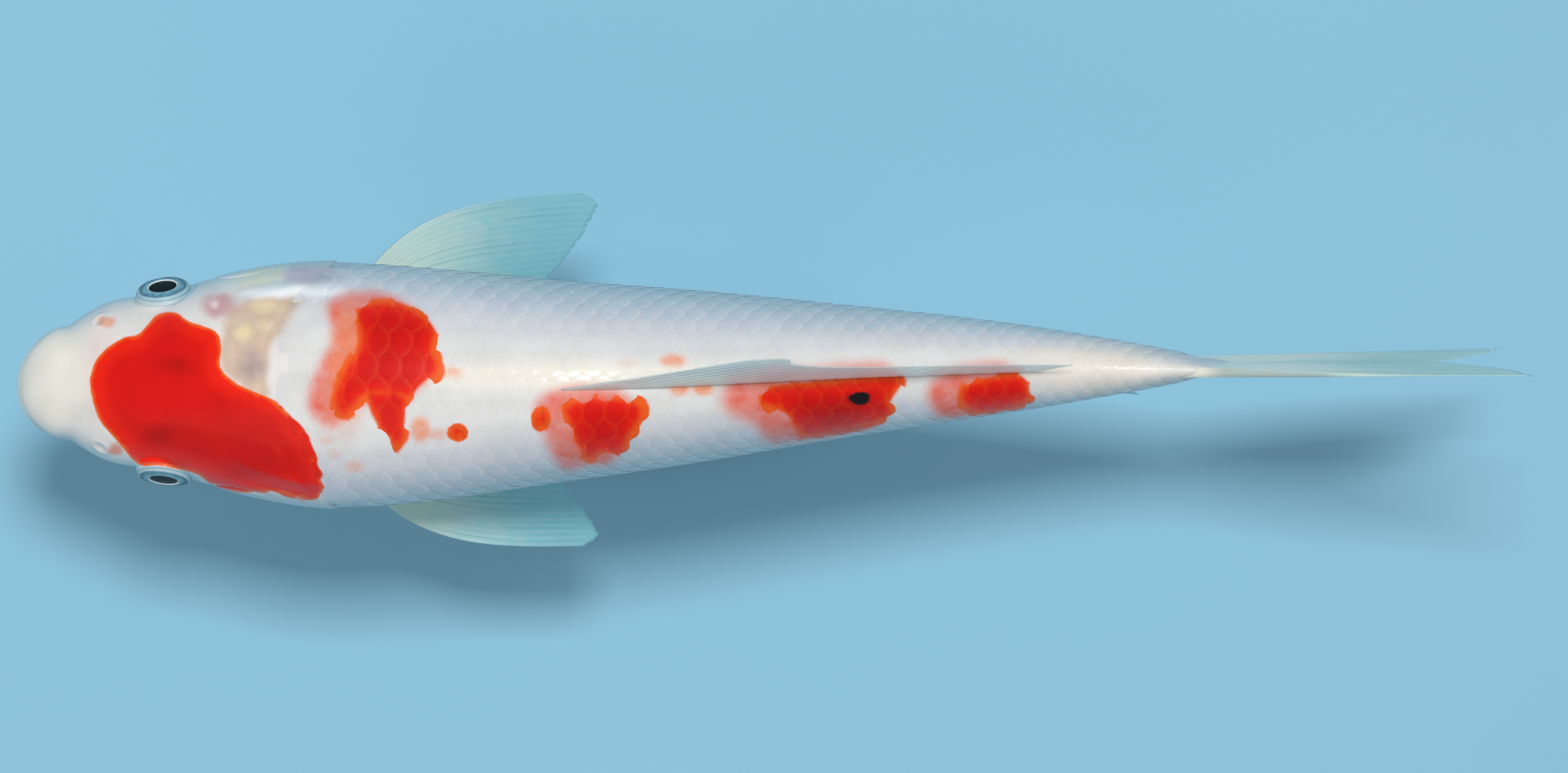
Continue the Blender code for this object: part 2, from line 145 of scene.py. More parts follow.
@dataclass(frozen=True)
class SmoothCurve:
    """A smooth curve through (position, value) pairs, the same as the solids use."""

    points: tuple[Pair, ...]

    def at(self, where: Array) -> Array:
        """The curve's value at each position.

        Args:
            where: the positions; outside the curve its end value holds.

        Returns:
            One value for each position.
        """
        x, y = np.array(self.points).T
        slope = np.empty_like(y)
        slope[1:-1] = (y[2:] - y[:-2]) / (x[2:] - x[:-2])
        slope[0] = (y[1] - y[0]) / (x[1] - x[0])
        slope[-1] = (y[-1] - y[-2]) / (x[-1] - x[-2])
        where = np.clip(where, x[0], x[-1])
        i = np.clip(np.searchsorted(x, where, side="right") - 1, 0, len(x) - 2)
        span = x[i + 1] - x[i]
        t = (where - x[i]) / span
        return (
            (1 + 2 * t) * (1 - t) ** 2 * y[i]
            + t * (1 - t) ** 2 * span * slope[i]
            + t * t * (3 - 2 * t) * y[i + 1]
            + t * t * (t - 1) * span * slope[i + 1]
        )


# ---- the body's form ----

STATIONS = (  # along, half width, back and belly
    (0.000, 0.0400, 0.030, 0.026),
    (0.025, 0.0462, 0.037, 0.033),
    (0.045, 0.0520, 0.045, 0.041),
    (0.080, 0.0700, 0.060, 0.055),
    (0.132, 0.0790, 0.079, 0.072),
    (0.200, 0.0990, 0.103, 0.096),
    (0.270, 0.1083, 0.122, 0.115),
    (0.360, 0.1030, 0.139, 0.130),
    (0.480, 0.0888, 0.148, 0.138),
    (0.600, 0.0757, 0.136, 0.127),
    (0.720, 0.0597, 0.107, 0.098),
    (0.850, 0.0430, 0.072, 0.064),
    (0.940, 0.0290, 0.059, 0.052),
    (1.000, 0.0180, 0.060, 0.054),
    (1.040, 0.0080, 0.064, 0.059),
)
MIDLINE = (
    (0.00, -0.0075), (0.05, -0.0040), (0.17, -0.0033), (0.32, -0.0060), (0.52, -0.0013), (0.72, 0.0060),
    (0.88, 0.0092), (1.04, 0.0100),
)


@dataclass(frozen=True)
class BodyForm:
    """The body's plain form, from the same named sizes as the solids."""

    length: float = 0.243
    snout_x: float = -0.106
    axis_height: float = 0.098
    end: float = 1.072  # the flesh runs a little way on over the tail fin
    nose: float = 0.036
    tail_rounding: float = 0.046
    section_power: float = 0.92
    roll: float = math.radians(3)
    snout_droop: float = 0.014
    droop_length: float = 0.16
    midline: SmoothCurve = SmoothCurve(MIDLINE)
    half_width: SmoothCurve = SmoothCurve(tuple((s[0], s[1]) for s in STATIONS))
    back: SmoothCurve = SmoothCurve(tuple((s[0], s[2]) for s in STATIONS))
    belly: SmoothCurve = SmoothCurve(tuple((s[0], s[3]) for s in STATIONS))

    def place(self, along: Array, side: Array, up: Array) -> Array:
        """Places on the fish.

        Args:
            along: shares of the body's length from the snout.
            side: shares to the right of the bent, rolled axis.
            up: shares above it.

        Returns:
            Points in metres, in the last axis.
        """
        along, side, up = np.broadcast_arrays(*(np.asarray(v, float) for v in (along, side, up)))
        up = up - self.snout_droop * (1 - ease(along / self.droop_length))
        across = self.midline.at(along) + side * math.cos(self.roll) - up * math.sin(self.roll)
        high = up * math.cos(self.roll) + side * math.sin(self.roll)
        x, z = self.snout_x + along * self.length, self.axis_height + high * self.length
        return np.stack((x, across * self.length, z), -1)

    def surface(self, along: Array, around: Array) -> Array:
        """Points on the plain body; around is 0 on the back and a quarter turn on the right side.

        Args:
            along: shares of the body's length from the snout.
            around: angles round the axis.

        Returns:
            Places in metres.
        """
        nose = np.clip(along / self.nose, 0, 1)
        tail = np.clip((self.end - along) / self.tail_rounding, 0, 1)
        left = np.sqrt(1 - (1 - nose) ** 2) * np.sqrt(1 - (1 - tail) ** 2)
        sine, cosine = np.sin(around), np.cos(around)
        height = np.where(cosine > 0, self.back.at(along), self.belly.at(along))
        return self.place(
            along, self.half_width.at(along) * left * np.sign(sine) * np.abs(sine) ** self.section_power,
            height * left * np.sign(cosine) * np.abs(cosine) ** self.section_power,
        )

    def shares(self, points: Array) -> tuple[Array, Array, Array]:
        """How far along, to the right and up the points are, as shares of the length.

        Args:
            points: places in metres.

        Returns:
            Shares along, to the right of the midline and above the axis.
        """
        along = (points[..., 0] - self.snout_x) / self.length
        side = points[..., 1] / self.length - self.midline.at(along)
        return along, side, (points[..., 2] - self.axis_height) / self.length


# ---- markings ----


@dataclass(frozen=True)
class Outline:
    """A smooth closed line through a few (along, side) points of the plan."""

    points: tuple[Pair, ...]
    steps: int = 10

    def line(self) -> Array:
        """The line as many short straight stretches, in hundredths.

        Returns:
            The starts of the stretches, one a row.
        """
        p1 = np.array(self.points, float)
        p0, p2, p3 = (np.roll(p1, shift, 0) for shift in (1, -1, -2))
        t = (np.arange(self.steps) / self.steps)[None, :, None]
        a, b, c, d = (p[:, None, :] for p in (p0, p1, p2, p3))
        bend = (2 * a - 5 * b + 4 * c - d) * t**2 + (3 * b - a - 3 * c + d) * t**3
        return (0.5 * (2 * b + (c - a) * t + bend)).reshape(-1, 2)

    def distance(self, plan: Array, far: float = 8.0) -> Array:
        """How far outside the line each point is, negative inside.

        Args:
            plan: (along, side) points in hundredths, one a row.
            far: beyond this distance a point only needs to be known as outside.

        Returns:
            Distances in hundredths.
        """
        line = self.line()
        found = np.full(len(plan), far)
        near = np.all((plan > line.min(0) - far) & (plan < line.max(0) + far), axis=1)
        start, step = line, np.roll(line, -1, 0) - line
        for rows in np.array_split(np.flatnonzero(near), max(int(near.sum() / 4000), 1)):
            if not len(rows):
                continue
            gap = plan[rows, None, :] - start[None]
            t = np.clip((gap * step).sum(-1) / (step * step).sum(-1), 0, 1)
            apart = np.linalg.norm(gap - t[..., None] * step, axis=-1).min(1)
            above = start[:, 1] > plan[rows, None, 1]
            crosses = above != np.roll(above, -1, 1)
            reach = start[:, 0] + (plan[rows, None, 1] - start[:, 1]) * step[:, 0] / np.where(
                step[:, 1] == 0, 1e-9, step[:, 1]
            )
            inside = (crosses & (plan[rows, None, 0] < reach)).sum(1) % 2 == 1
            found[rows] = np.where(inside, -apart, np.minimum(apart, far))
        return found


@dataclass(frozen=True)
class Spot:
    """A round or oval mark of the plan, in hundredths."""

    along: float
    side: float
    reach_along: float
    reach_side: float
    strength: float = 1.0

    def share(self, plan: Array) -> Array:
        """0 in the middle, 1 on its edge and more outside."""
        along, side = (plan - (self.along, self.side)).T
        return np.hypot(along / self.reach_along, side / self.reach_side)

    def distance(self, plan: Array) -> Array:
        """Roughly how far outside its edge each point is, in hundredths."""
        return (self.share(plan) - 1) * min(self.reach_along, self.reach_side)


@dataclass(frozen=True)
class RedPatch:
    """A red patch with a firm edge, and the soft pink that shows ahead of it under the scales."""

    outline: Outline
    soft_edge: float  # hundredths


@dataclass(frozen=True)
class Tint:
    """A soft-edged change of the ground colour in one place of the plan."""

    shape: Spot | Outline
    colour: Colour
    soft: float  # hundredths over which it fades
    strength: float


@dataclass(frozen=True)
class Markings:
    """Where the fish is red, pink, orange, black or tinted, by place seen from above."""

    form: BodyForm
    sight_height: float = 1.4  # how far above the axis the plan is drawn from
    sight_along: float = 0.6738  # where along the body it is drawn from
    flesh: Colour = paint(232, 226, 221)
    patches: tuple[RedPatch, ...] = (
        RedPatch(  # crown, from the nostrils over the skull and down the left cheek
            Outline((
                (6.4, -0.6), (7.0, 1.7), (9.0, 3.4), (10.7, 3.9), (12.2, 5.5), (13.7, 5.8), (15.1, 5.0),
                (17.4, 4.1), (17.9, 2.8), (17.9, 0.8), (19.8, -0.8), (22.8, -2.2), (24.9, -4.4), (26.2, -6.6),
                (26.9, -9.4), (25.8, -10.7), (22.4, -10.0), (18.2, -10.0), (15.6, -8.4), (12.4, -7.7),
                (10.7, -7.6), (9.1, -5.9), (7.2, -3.6),
            )),
            0.0,
        ),
        RedPatch(  # shoulder
            Outline((
                (29.4, 6.3), (31.0, 6.8), (33.2, 6.9), (35.6, 5.8), (37.0, 4.4), (36.8, 2.5), (37.2, 0.6),
                (35.7, -1.0), (34.6, -2.0), (32.4, -1.7), (30.5, -1.9), (28.9, -3.7), (27.6, -2.2),
                (28.4, 0.6), (29.8, 3.0), (29.6, 5.0),
            )),
            2.4,
        ),
        RedPatch(Outline(((30.6, -1.2), (31.3, -4.0), (33.2, -6.2), (34.3, -5.0), (34.2, -1.2))), 0.0),
        RedPatch(  # left flank
            Outline((
                (47.8, -2.5), (48.9, -1.8), (51.2, -1.4), (54.6, -2.0), (55.1, -3.5), (54.0, -5.3),
                (53.2, -7.0), (51.6, -6.8), (50.0, -7.4), (48.9, -5.8), (48.3, -4.2),
            )),
            2.6,
        ),
        RedPatch(  # along the dorsal fin
            Outline((
                (66.0, -0.6), (71.5, -0.1), (77.9, 0.3), (77.0, -1.8), (76.8, -3.5), (73.4, -4.8),
                (69.2, -5.3), (67.4, -3.4), (65.0, -2.2),
            )),
            3.4,
        ),
        RedPatch(  # before the tail stalk
            Outline(((83.8, -0.1), (88.2, 0.5), (89.3, -1.5), (87.4, -3.0), (84.0, -3.3), (82.6, -1.6))), 3.0
        ),
    )
    dots: tuple[Spot, ...] = (Spot(46.0, -3.6, 0.9, 1.15), Spot(38.7, -4.8, 0.95, 0.85))
    faint: tuple[Spot, ...] = (
        Spot(35.4, -4.5, 0.8, 1.1, 0.85), Spot(36.9, -5.0, 1.0, 0.5, 0.45),
        Spot(38.1, 0.5, 0.9, 0.45, 0.55), Spot(57.6, 1.5, 1.1, 0.55, 0.80),
        Spot(58.2, -1.0, 0.9, 0.5, 0.90), Spot(60.3, -1.0, 0.9, 0.5, 0.95),
        Spot(27.2, -5.4, 0.6, 0.4, 0.35), Spot(27.9, -6.7, 0.5, 0.4, 0.3),
        Spot(29.5, -7.8, 0.8, 0.5, 0.45), Spot(53.5, 1.3, 0.8, 0.4, 0.2), Spot(29.0, 1.0, 1.6, 5.4, 0.55),
    )
    black: Spot = Spot(74.0, -1.8, 1.05, 0.62)
    dark: tuple[Spot, ...] = (
        Spot(14.0, 1.2, 1.6, 1.0, 0.55), Spot(12.6, -5.0, 1.5, 1.0, 0.6),
        Spot(20.0, -5.5, 5.5, 3.5, 0.30), Spot(73.5, -2.6, 3.0, 1.6, 0.30),
        Spot(71.0, -3.6, 3.0, 1.6, 0.35), Spot(32.5, 2.5, 2.0, 3.0, 0.15),
    )
    tints: tuple[Tint, ...] = (
        Tint(Spot(3.0, 0.0, 3.6, 4.0), paint(244, 238, 222), 2.6, 0.75),  # snout
        Tint(Spot(7.2, 0.8, 1.4, 3.4), paint(242, 216, 206), 2.0, 0.60),  # ahead of the crown patch
        Tint(  # soft place behind the skull
            Outline((
                (17.9, 3.0), (18.6, 5.6), (20.4, 7.0), (23.2, 7.4), (25.0, 6.9), (23.6, 4.8), (22.3, 2.8),
                (21.9, 0.6), (22.1, -1.9), (20.2, -1.1), (18.2, 0.8),
            )),
            paint(212, 184, 160), 0.9, 0.95,
        ),
        Tint(Spot(20.6, 1.2, 1.0, 1.3), paint(172, 148, 150), 1.6, 0.75),
        Tint(Spot(19.8, 3.9, 0.8, 0.6), paint(246, 226, 176), 0.9, 0.80),
        Tint(Spot(22.0, 6.2, 1.2, 0.5), paint(244, 222, 176), 0.9, 0.75),
        Tint(Spot(21.6, 4.6, 0.7, 0.5), paint(240, 216, 176), 0.8, 0.55),
        Tint(Spot(17.7, 6.3, 1.45, 1.05), paint(208, 152, 154), 1.1, 0.85),  # temple
        # painted highlight on the temple spot
        Tint(Spot(17.3, 6.5, 0.35, 0.25), paint(246, 226, 222), 0.4, 0.80),
        Tint(  # gill cover, front
            Outline(((19.4, 8.2), (20.2, 9.6), (22.4, 10.2), (23.6, 9.9), (23.0, 8.6), (21.0, 8.0))),
            paint(208, 214, 192), 1.2, 0.75,
        ),
        Tint(  # gill cover, rear
            Outline(((23.4, 8.6), (24.2, 9.8), (26.6, 9.9), (28.2, 9.0), (27.4, 8.2), (25.0, 8.2))),
            paint(176, 168, 184), 1.3, 0.75,
        ),
        Tint(  # ridge over the gill cover
            Outline((
                (19.6, 7.3), (22.6, 7.9), (25.6, 8.0), (28.6, 7.8), (28.4, 7.2), (25.0, 7.2), (21.0, 6.9),
            )),
            paint(250, 250, 250), 0.7, 0.95,
        ),
        Tint(Spot(7.9, 5.0, 0.6, 0.55), paint(236, 164, 130), 0.6, 0.85),  # nostrils
        Tint(Spot(8.6, -6.2, 0.6, 0.5), paint(222, 140, 120), 0.6, 0.85),
        Tint(Spot(47.0, 0.2, 13.0, 1.1), paint(248, 234, 212), 1.4, 0.70),  # ridge of the back
        Tint(Spot(94.5, 0.8, 6.5, 2.4), paint(246, 228, 206), 3.0, 0.55),  # tail stalk
    )

    def plan(self, points: Array) -> Array:
        """Where each point shows in the plan, in hundredths of the body's length.

        Args:
            points: places in metres.

        Returns:
            (along, side) places, one a row.
        """
        reach = self.sight_height / (self.sight_height - (points[..., 2] - self.form.axis_height))
        middle = self.form.length * self.sight_along + self.form.snout_x
        along = (middle + (points[..., 0] - middle) * reach - self.form.snout_x) / self.form.length
        return np.stack((along, points[..., 1] * reach / self.form.length), -1).reshape(-1, 2) * 100

    def red(self, plan: Array) -> Array:
        """How far outside the body's red patches each place is, in hundredths, negative inside."""
        return np.minimum.reduce([patch.outline.distance(plan) for patch in self.patches[1:]])

    def dotted(self, plan: Array) -> Array:
        """How far outside the small red dots each place of the plan is, in hundredths."""
        return np.minimum.reduce([dot.distance(plan) for dot in self.dots])

    def pink(self, plan: Array) -> Array:
        """How strongly the soft forward edge of a patch shows, 0 to 1.

        Args:
            plan: places of the plan, in hundredths, one a row.

        Returns:
            One strength for each place.
        """
        strongest = np.zeros(len(plan))
        for patch in self.patches:
            if patch.soft_edge:
                reach = patch.soft_edge
                ahead = patch.outline.distance(plan + (reach * 0.6, 0.0))
                strongest = np.maximum(strongest, ease(1 - ahead / (reach * 0.55)))
        return strongest

    def orange(self, plan: Array) -> Array:
        """How strongly a faint orange fleck shows, 0 to 1."""
        return np.maximum.reduce([s.strength * ease(1.6 - 1.1 * s.share(plan)) for s in self.faint])

    def darkness(self, plan: Array) -> Array:
        """How much deeper the red is, 0 to 1."""
        return np.clip(sum(s.strength * bell(s.share(plan)) for s in self.dark), 0, 1)

    def ground(self, plan: Array, upward: Array, points: Array) -> Array:
        """The ground colour without its markings, with painted bluish reflection and shade on skin that turns
        away from facing up.

        Args:
            plan: places of the plan.
            upward: how far the skin faces up there, -1 to 1.
            points: the same places, in metres.

        Returns:
            Linear colours, one a row.
        """
        colour = np.tile(np.array(self.flesh), (len(plan), 1))
        along = plan[:, 0] / 100
        body = ease((along - 0.20) / 0.08)
        stalk = 1 - 0.65 * ease((along - 0.89) / 0.10)
        # tints by how far the skin faces up: the first three are painted bluish reflection and shade, the
        # last two keep the lower flanks and belly pale
        steps = (
            (ease((0.95 - upward) / 0.35) * 0.60 * body, paint(214, 210, 222)),  # lavender painted reflection where the back turns down
            (ease((0.72 - upward) / 0.45) * 0.62, paint(184, 206, 216)),  # bluish painted reflection and shade on the shoulders
            (ease((0.42 - upward) / 0.35) * 0.50, paint(150, 192, 206)),  # blue-teal painted reflection and shade on the upper flanks
            (ease((0.16 - upward) / 0.50) * 0.85, paint(222, 224, 222)),  # lower flanks
            (ease((-0.25 - upward) / 0.45) * 0.90, paint(236, 231, 224)),  # belly
        )
        for amount, tint in steps:
            colour += (amount * stalk)[:, None] * (np.array(tint) - colour)
        facing = ease((upward - 0.02) / 0.24)
        spread = points.reshape(-1, 3)
        ragged = plan + 0.14 * np.stack((waves(spread, 7 * MM, 5), waves(spread, 7 * MM, 6)), -1)
        for tint in self.tints:
            amount = tint.strength * ease(0.5 - tint.shape.distance(ragged) / tint.soft) * facing
            colour += amount[:, None] * (np.array(tint.colour) - colour)
        return colour * (1 + 0.035 * waves(spread, 9 * MM, 3))[:, None]

    def write(self, mesh: Mesh, upward: Array, roots: Array | None = None) -> None:
        """Stores the markings on a mesh for its finish.

        Args:
            mesh: the skin or the coat.
            upward: how far each vertex faces up, -1 to 1.
            roots: for the coat, the middle of each vertex's scale, so that a scale takes one colour.
        """
        points = vertex_places(mesh)
        plan = self.plan(points)
        facing = (1 - ease((upward + 0.12) / 0.3)) * 6
        scallops = 0.13 * waves(points, 3.4 * MM, 8) * ease((plan[:, 0] - 19) / 3)
        fine = np.minimum(self.dotted(plan), self.patches[0].outline.distance(plan) + scallops)
        own = np.minimum(self.red(plan), fine) + facing
        scales = plan if roots is None else self.plan(lerp(points, roots, 0.52))
        whole = np.minimum(self.red(scales), fine) + facing
        millimetres = self.form.length * 10  # in a hundredth of the length
        write_values(mesh, "red_place", own * millimetres)
        write_values(mesh, "red_scale", whole * millimetres)
        write_values(mesh, "rim", 1 - 0.62 * ease((plan[:, 0] - 25.5) / 3))
        visible = ease((upward - 0.02) / 0.4)
        write_values(mesh, "pink", self.pink(plan) * visible)
        write_values(mesh, "orange", self.orange(plan) * visible)
        write_values(mesh, "dark", self.darkness(plan))
        # how strongly the scales' painted shade and highlight show: none on top, most where the skin faces
        # sideways
        flank = ease((0.92 - upward) / 0.55) * (0.35 + 0.65 * ease((upward + 0.6) / 0.8))
        write_values(mesh, "flank", flank)
        write_values(mesh, "black", (self.black.distance(plan) + facing) * millimetres)
        write_colours(mesh, "ground", self.ground(plan, upward, points))


# ---- meshes ----


def read(items: Any, key: str, parts: int = 3, kind: type = np.float32) -> Array:
    """One property of each item of a mesh.

    Args:
        items: the mesh's vertices, corners, faces or stored values.
        key: the property's name.
        parts: how many numbers each item has.
        kind: their type.

    Returns:
        One row for each item, or one number where it has one part.
    """
    found = np.empty(len(items) * parts, kind)
    items.foreach_get(key, found)
    return found if parts == 1 else found.reshape(-1, parts)


def vertex_places(mesh: Mesh) -> Array:
    """The mesh's vertices in metres, one a row."""
    return read(mesh.vertices, "co").astype(float)


def vertex_normals(mesh: Mesh) -> Array:
    """The way each vertex of the mesh faces, one a row."""
    return read(mesh.vertex_normals, "vector").astype(float)


def write_values(mesh: Mesh, name: str, values: Array, kind: str = "FLOAT", key: str = "value") -> None:
    """Stores one number for each vertex, or what another kind of attribute holds under its key."""
    layer = mesh.attributes.new(name, kind, "POINT")
    layer.data.foreach_set(key, np.ascontiguousarray(values, np.float32).ravel())


def write_vectors(mesh: Mesh, name: str, values: Array) -> None:
    """Stores one vector for each vertex."""
    write_values(mesh, name, values, "FLOAT_VECTOR", "vector")


def write_colours(mesh: Mesh, name: str, values: Array) -> None:
    """Stores one linear colour for each vertex."""
    full = np.concatenate((np.clip(values, 0, 1), np.ones((len(values), 1))), 1)
    write_values(mesh, name, full, "FLOAT_COLOR", "color")


def write_map(mesh: Mesh, corners: Array) -> None:
    """Stores the OFBake UV map, one row for each face corner."""
    layer = mesh.uv_layers.new(name="OFBake")
    layer.data.foreach_set("uv", np.ascontiguousarray(corners, np.float32).ravel())


def corner_vertices(mesh: Mesh) -> Array:
    """The vertex of each face corner."""
    return read(mesh.loops, "vertex_index", 1, np.int32)


def new_mesh(name: str, points: Array, faces: Sequence[Sequence[int]]) -> Mesh:
    """A smooth-shaded mesh from points and faces.

    Args:
        name: the mesh's name.
        points: its vertices, in the last axis.
        faces: the vertex indices of each face.

    Returns:
        The mesh.
    """
    mesh = bpy.data.meshes.new(name)
    mesh.from_pydata(np.asarray(points).reshape(-1, 3).tolist(), [], [list(face) for face in faces])
    mesh.shade_smooth()
    return mesh


def add_piece(
    name: str, mesh: Mesh, finish: Material, stands_for: Sequence[str] = (),
) -> bpy.types.Object:
    """Adds a finished piece to the object.

    Args:
        name: the piece's name.
        mesh: its shape, already in place.
        finish: its material.
        stands_for: the solids that it replaces.

    Returns:
        The piece.
    """
    mesh.materials.clear()
    mesh.materials.append(finish)
    piece = bpy.data.objects.new(name, mesh)
    bpy.context.scene.collection.objects.link(piece)
    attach(piece, BODY)
    if stands_for:
        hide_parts(*stands_for)
    LOG.info("%s: %d faces", name, len(mesh.polygons))
    return piece


def grid_faces(rows: int, columns: int, closed: bool = False) -> Array:
    """Quads between the points of a grid.

    Args:
        rows: how many rows of points there are.
        columns: how many points are in a row.
        closed: whether each row's end meets its start.

    Returns:
        Four indices a row.
    """
    across = columns if closed else columns - 1
    row, column = np.meshgrid(np.arange(rows - 1), np.arange(across), indexing="ij")
    here, beside = row * columns + column, row * columns + (column + 1) % columns
    return np.stack((here, beside, beside + columns, here + columns), -1).reshape(-1, 4)


def tube_faces(rows: int, columns: int) -> list[tuple[int, ...]]:
    """Faces of a closed tube whose two end points follow the points of its rings.

    Args:
        rows: how many rings there are.
        columns: how many points are in a ring.

    Returns:
        Quads along the tube and a fan of triangles at each end.
    """
    front, rear, last = rows * columns, rows * columns + 1, (rows - 1) * columns
    faces = [tuple(face) for face in grid_faces(rows, columns, True)]
    faces += [(front, (k + 1) % columns, k) for k in range(columns)]
    return faces + [(rear, last + k, last + (k + 1) % columns) for k in range(columns)]


def closed_sheet(name: str, front: Array, back: Array) -> Mesh:
    """A thin closed body between two grids of points.

    Args:
        name: the mesh's name.
        front: rows of points on one face.
        back: the same places on the other face.

    Returns:
        The mesh, with the points of the front face first.
    """
    rows, columns = front.shape[:2]
    count = rows * columns
    quads = grid_faces(rows, columns)
    faces = [tuple(face) for face in quads] + [tuple(face[::-1] + count) for face in quads]
    border = [*range(columns), *(row * columns + columns - 1 for row in range(1, rows))]
    border += [(rows - 1) * columns + k for k in range(columns - 2, -1, -1)]
    border += [row * columns for row in range(rows - 2, 0, -1)]
    for here, there in zip(border, border[1:] + border[:1]):
        faces.append((there, here, here + count, there + count))
    mesh = new_mesh(name, np.concatenate((front.reshape(-1, 3), back.reshape(-1, 3))), faces)
    turn_outwards(mesh)
    return mesh


def distance_from_axis(points: Array, centre: Array, axis: Array) -> Array:
    """How far each point is from a line through the centre."""
    spoke = points - centre
    return np.linalg.norm(spoke - (spoke @ axis)[:, None] * axis, axis=1)


def turned_shape(name: str, profile: Sequence[Pair], centre: Array, axis: Array, around: int = 64) -> Mesh:
    """A closed shape turned round an axis.

    Args:
        name: the mesh's name.
        profile: (radius, height) points from one end of the axis to the other, both ends on it.
        centre: where height is 0.
        axis: the direction in which height grows.
        around: faces round the axis.

    Returns:
        The mesh.
    """
    axis = unit(np.asarray(axis, float))
    aside = unit(np.cross(axis, (0.3, 0.1, 0.9)))
    across = np.cross(axis, aside)
    turn = np.arange(around) / around * 2 * math.pi
    ring = np.cos(turn)[:, None] * aside + np.sin(turn)[:, None] * across
    inner = np.array(profile[1:-1])
    points = [centre + profile[0][1] * axis]
    points += [centre + height * axis + radius * spoke for radius, height in inner for spoke in ring]
    points.append(centre + profile[-1][1] * axis)
    last = len(points) - 1
    faces = [tuple(face + 1) for face in grid_faces(len(inner), around, True)]
    faces += [(0, 1 + (k + 1) % around, 1 + k) for k in range(around)]
    first = last - around
    faces += [(last, first + k, first + (k + 1) % around) for k in range(around)]
    mesh = new_mesh(name, np.array(points), faces)
    turn_outwards(mesh)
    return mesh


def turn_outwards(mesh: Mesh) -> None:
    """Makes every face of a closed mesh point outwards.

    Args:
        mesh: the mesh.
    """
    bm = bmesh.new()
    bm.from_mesh(mesh)
    bmesh.ops.recalc_face_normals(bm, faces=bm.faces)
    if bm.calc_volume(signed=True) < 0:
        bmesh.ops.reverse_faces(bm, faces=bm.faces)
    bm.to_mesh(mesh)
    bm.free()
    mesh.shade_smooth()


# ---- node graphs ----


class Value:
    """A number that runs through a node graph and can be used in arithmetic."""

    def __init__(self, graph: "NodeGraph", socket: bpy.types.NodeSocket) -> None:
        """Wraps an output socket of the graph."""
        self.graph = graph
        self.socket = socket

    def __add__(self, other: Any) -> "Value":
        """Self plus other."""
        return self.graph.math("ADD", self, other)

    def __sub__(self, other: Any) -> "Value":
        """Self minus other."""
        return self.graph.math("SUBTRACT", self, other)

    def __rsub__(self, other: Any) -> "Value":
        """Other minus self."""
        return self.graph.math("SUBTRACT", other, self)

    def __mul__(self, other: Any) -> "Value":
        """Self times other."""
        return self.graph.math("MULTIPLY", self, other)

    def __truediv__(self, other: Any) -> "Value":
        """Self over other."""
        return self.graph.math("DIVIDE", self, other)

    def __rtruediv__(self, other: Any) -> "Value":
        """Other over self."""
        return self.graph.math("DIVIDE", other, self)

    def __mod__(self, other: Any) -> "Value":
        """What is left of self after whole steps of other."""
        return self.graph.math("FLOORED_MODULO", self, other)

    def __neg__(self) -> "Value":
        """Self turned round."""
        return self * -1

    __radd__ = __add__
    __rmul__ = __mul__

    def step(self, low: float, high: float) -> "Value":
        """0 at low and below, 1 at high and above, eased between; low may be the larger.

        Args:
            low: where it is 0.
            high: where it is 1.

        Returns:
            The eased step.
        """
        if low > high:
            return 1 - self.step(high, low)
        return self.graph.value(
            "ShaderNodeMapRange", {"interpolation_type": "SMOOTHSTEP"},
            {"Value": self, "From Min": low, "From Max": high},
        )


class NodeGraph:
    """Builds nodes in a tree from Python expressions."""

    def __init__(self, tree: bpy.types.NodeTree) -> None:
        """Starts from an empty tree."""
        self.tree = tree
        tree.nodes.clear()

    def node(self, kind: str, settings: Options = None, inputs: Options = None) -> Any:
        """Adds a node.

        Args:
            kind: the node's type.
            settings: its properties, set before its sockets.
            inputs: values or links for its sockets, by name or number.

        Returns:
            The node.
        """
        made = self.tree.nodes.new(kind)
        for key, setting in (settings or {}).items():
            setattr(made, key, setting)
        for key, given in (inputs or {}).items():
            self.feed(made.inputs[key], given)
        return made

    def feed(self, socket: bpy.types.NodeSocket, given: Any) -> None:
        """Links a value to a socket, or sets the socket to a plain value.

        Args:
            socket: the input socket.
            given: a value of the graph, a socket or a constant.
        """
        if isinstance(given, Value):
            self.tree.links.new(given.socket, socket)
        elif isinstance(given, bpy.types.NodeSocket):
            self.tree.links.new(given, socket)
        elif isinstance(given, tuple) and socket.type == "RGBA" and len(given) == 3:
            socket.default_value = (*given, 1.0)
        else:
            socket.default_value = given

    def value(self, kind: str, settings: Options = None, inputs: Options = None, output: Any = 0) -> Value:
        """Adds a node and returns one of its outputs."""
        return Value(self, self.node(kind, settings, inputs).outputs[output])

    def math(self, operation: str, *values: Any) -> Value:
        """Adds a Math node on the values."""
        return self.value("ShaderNodeMath", {"operation": operation}, dict(enumerate(values)))

    def vector(self, x: Any, y: Any, z: Any) -> Value:
        """A vector from its three parts."""
        return self.value("ShaderNodeCombineXYZ", None, {0: x, 1: y, 2: z})

    def parts(self, vector: Any) -> list[Value]:
        """The three parts of a vector."""
        return [Value(self, part) for part in self.node("ShaderNodeSeparateXYZ", None, {0: vector}).outputs]


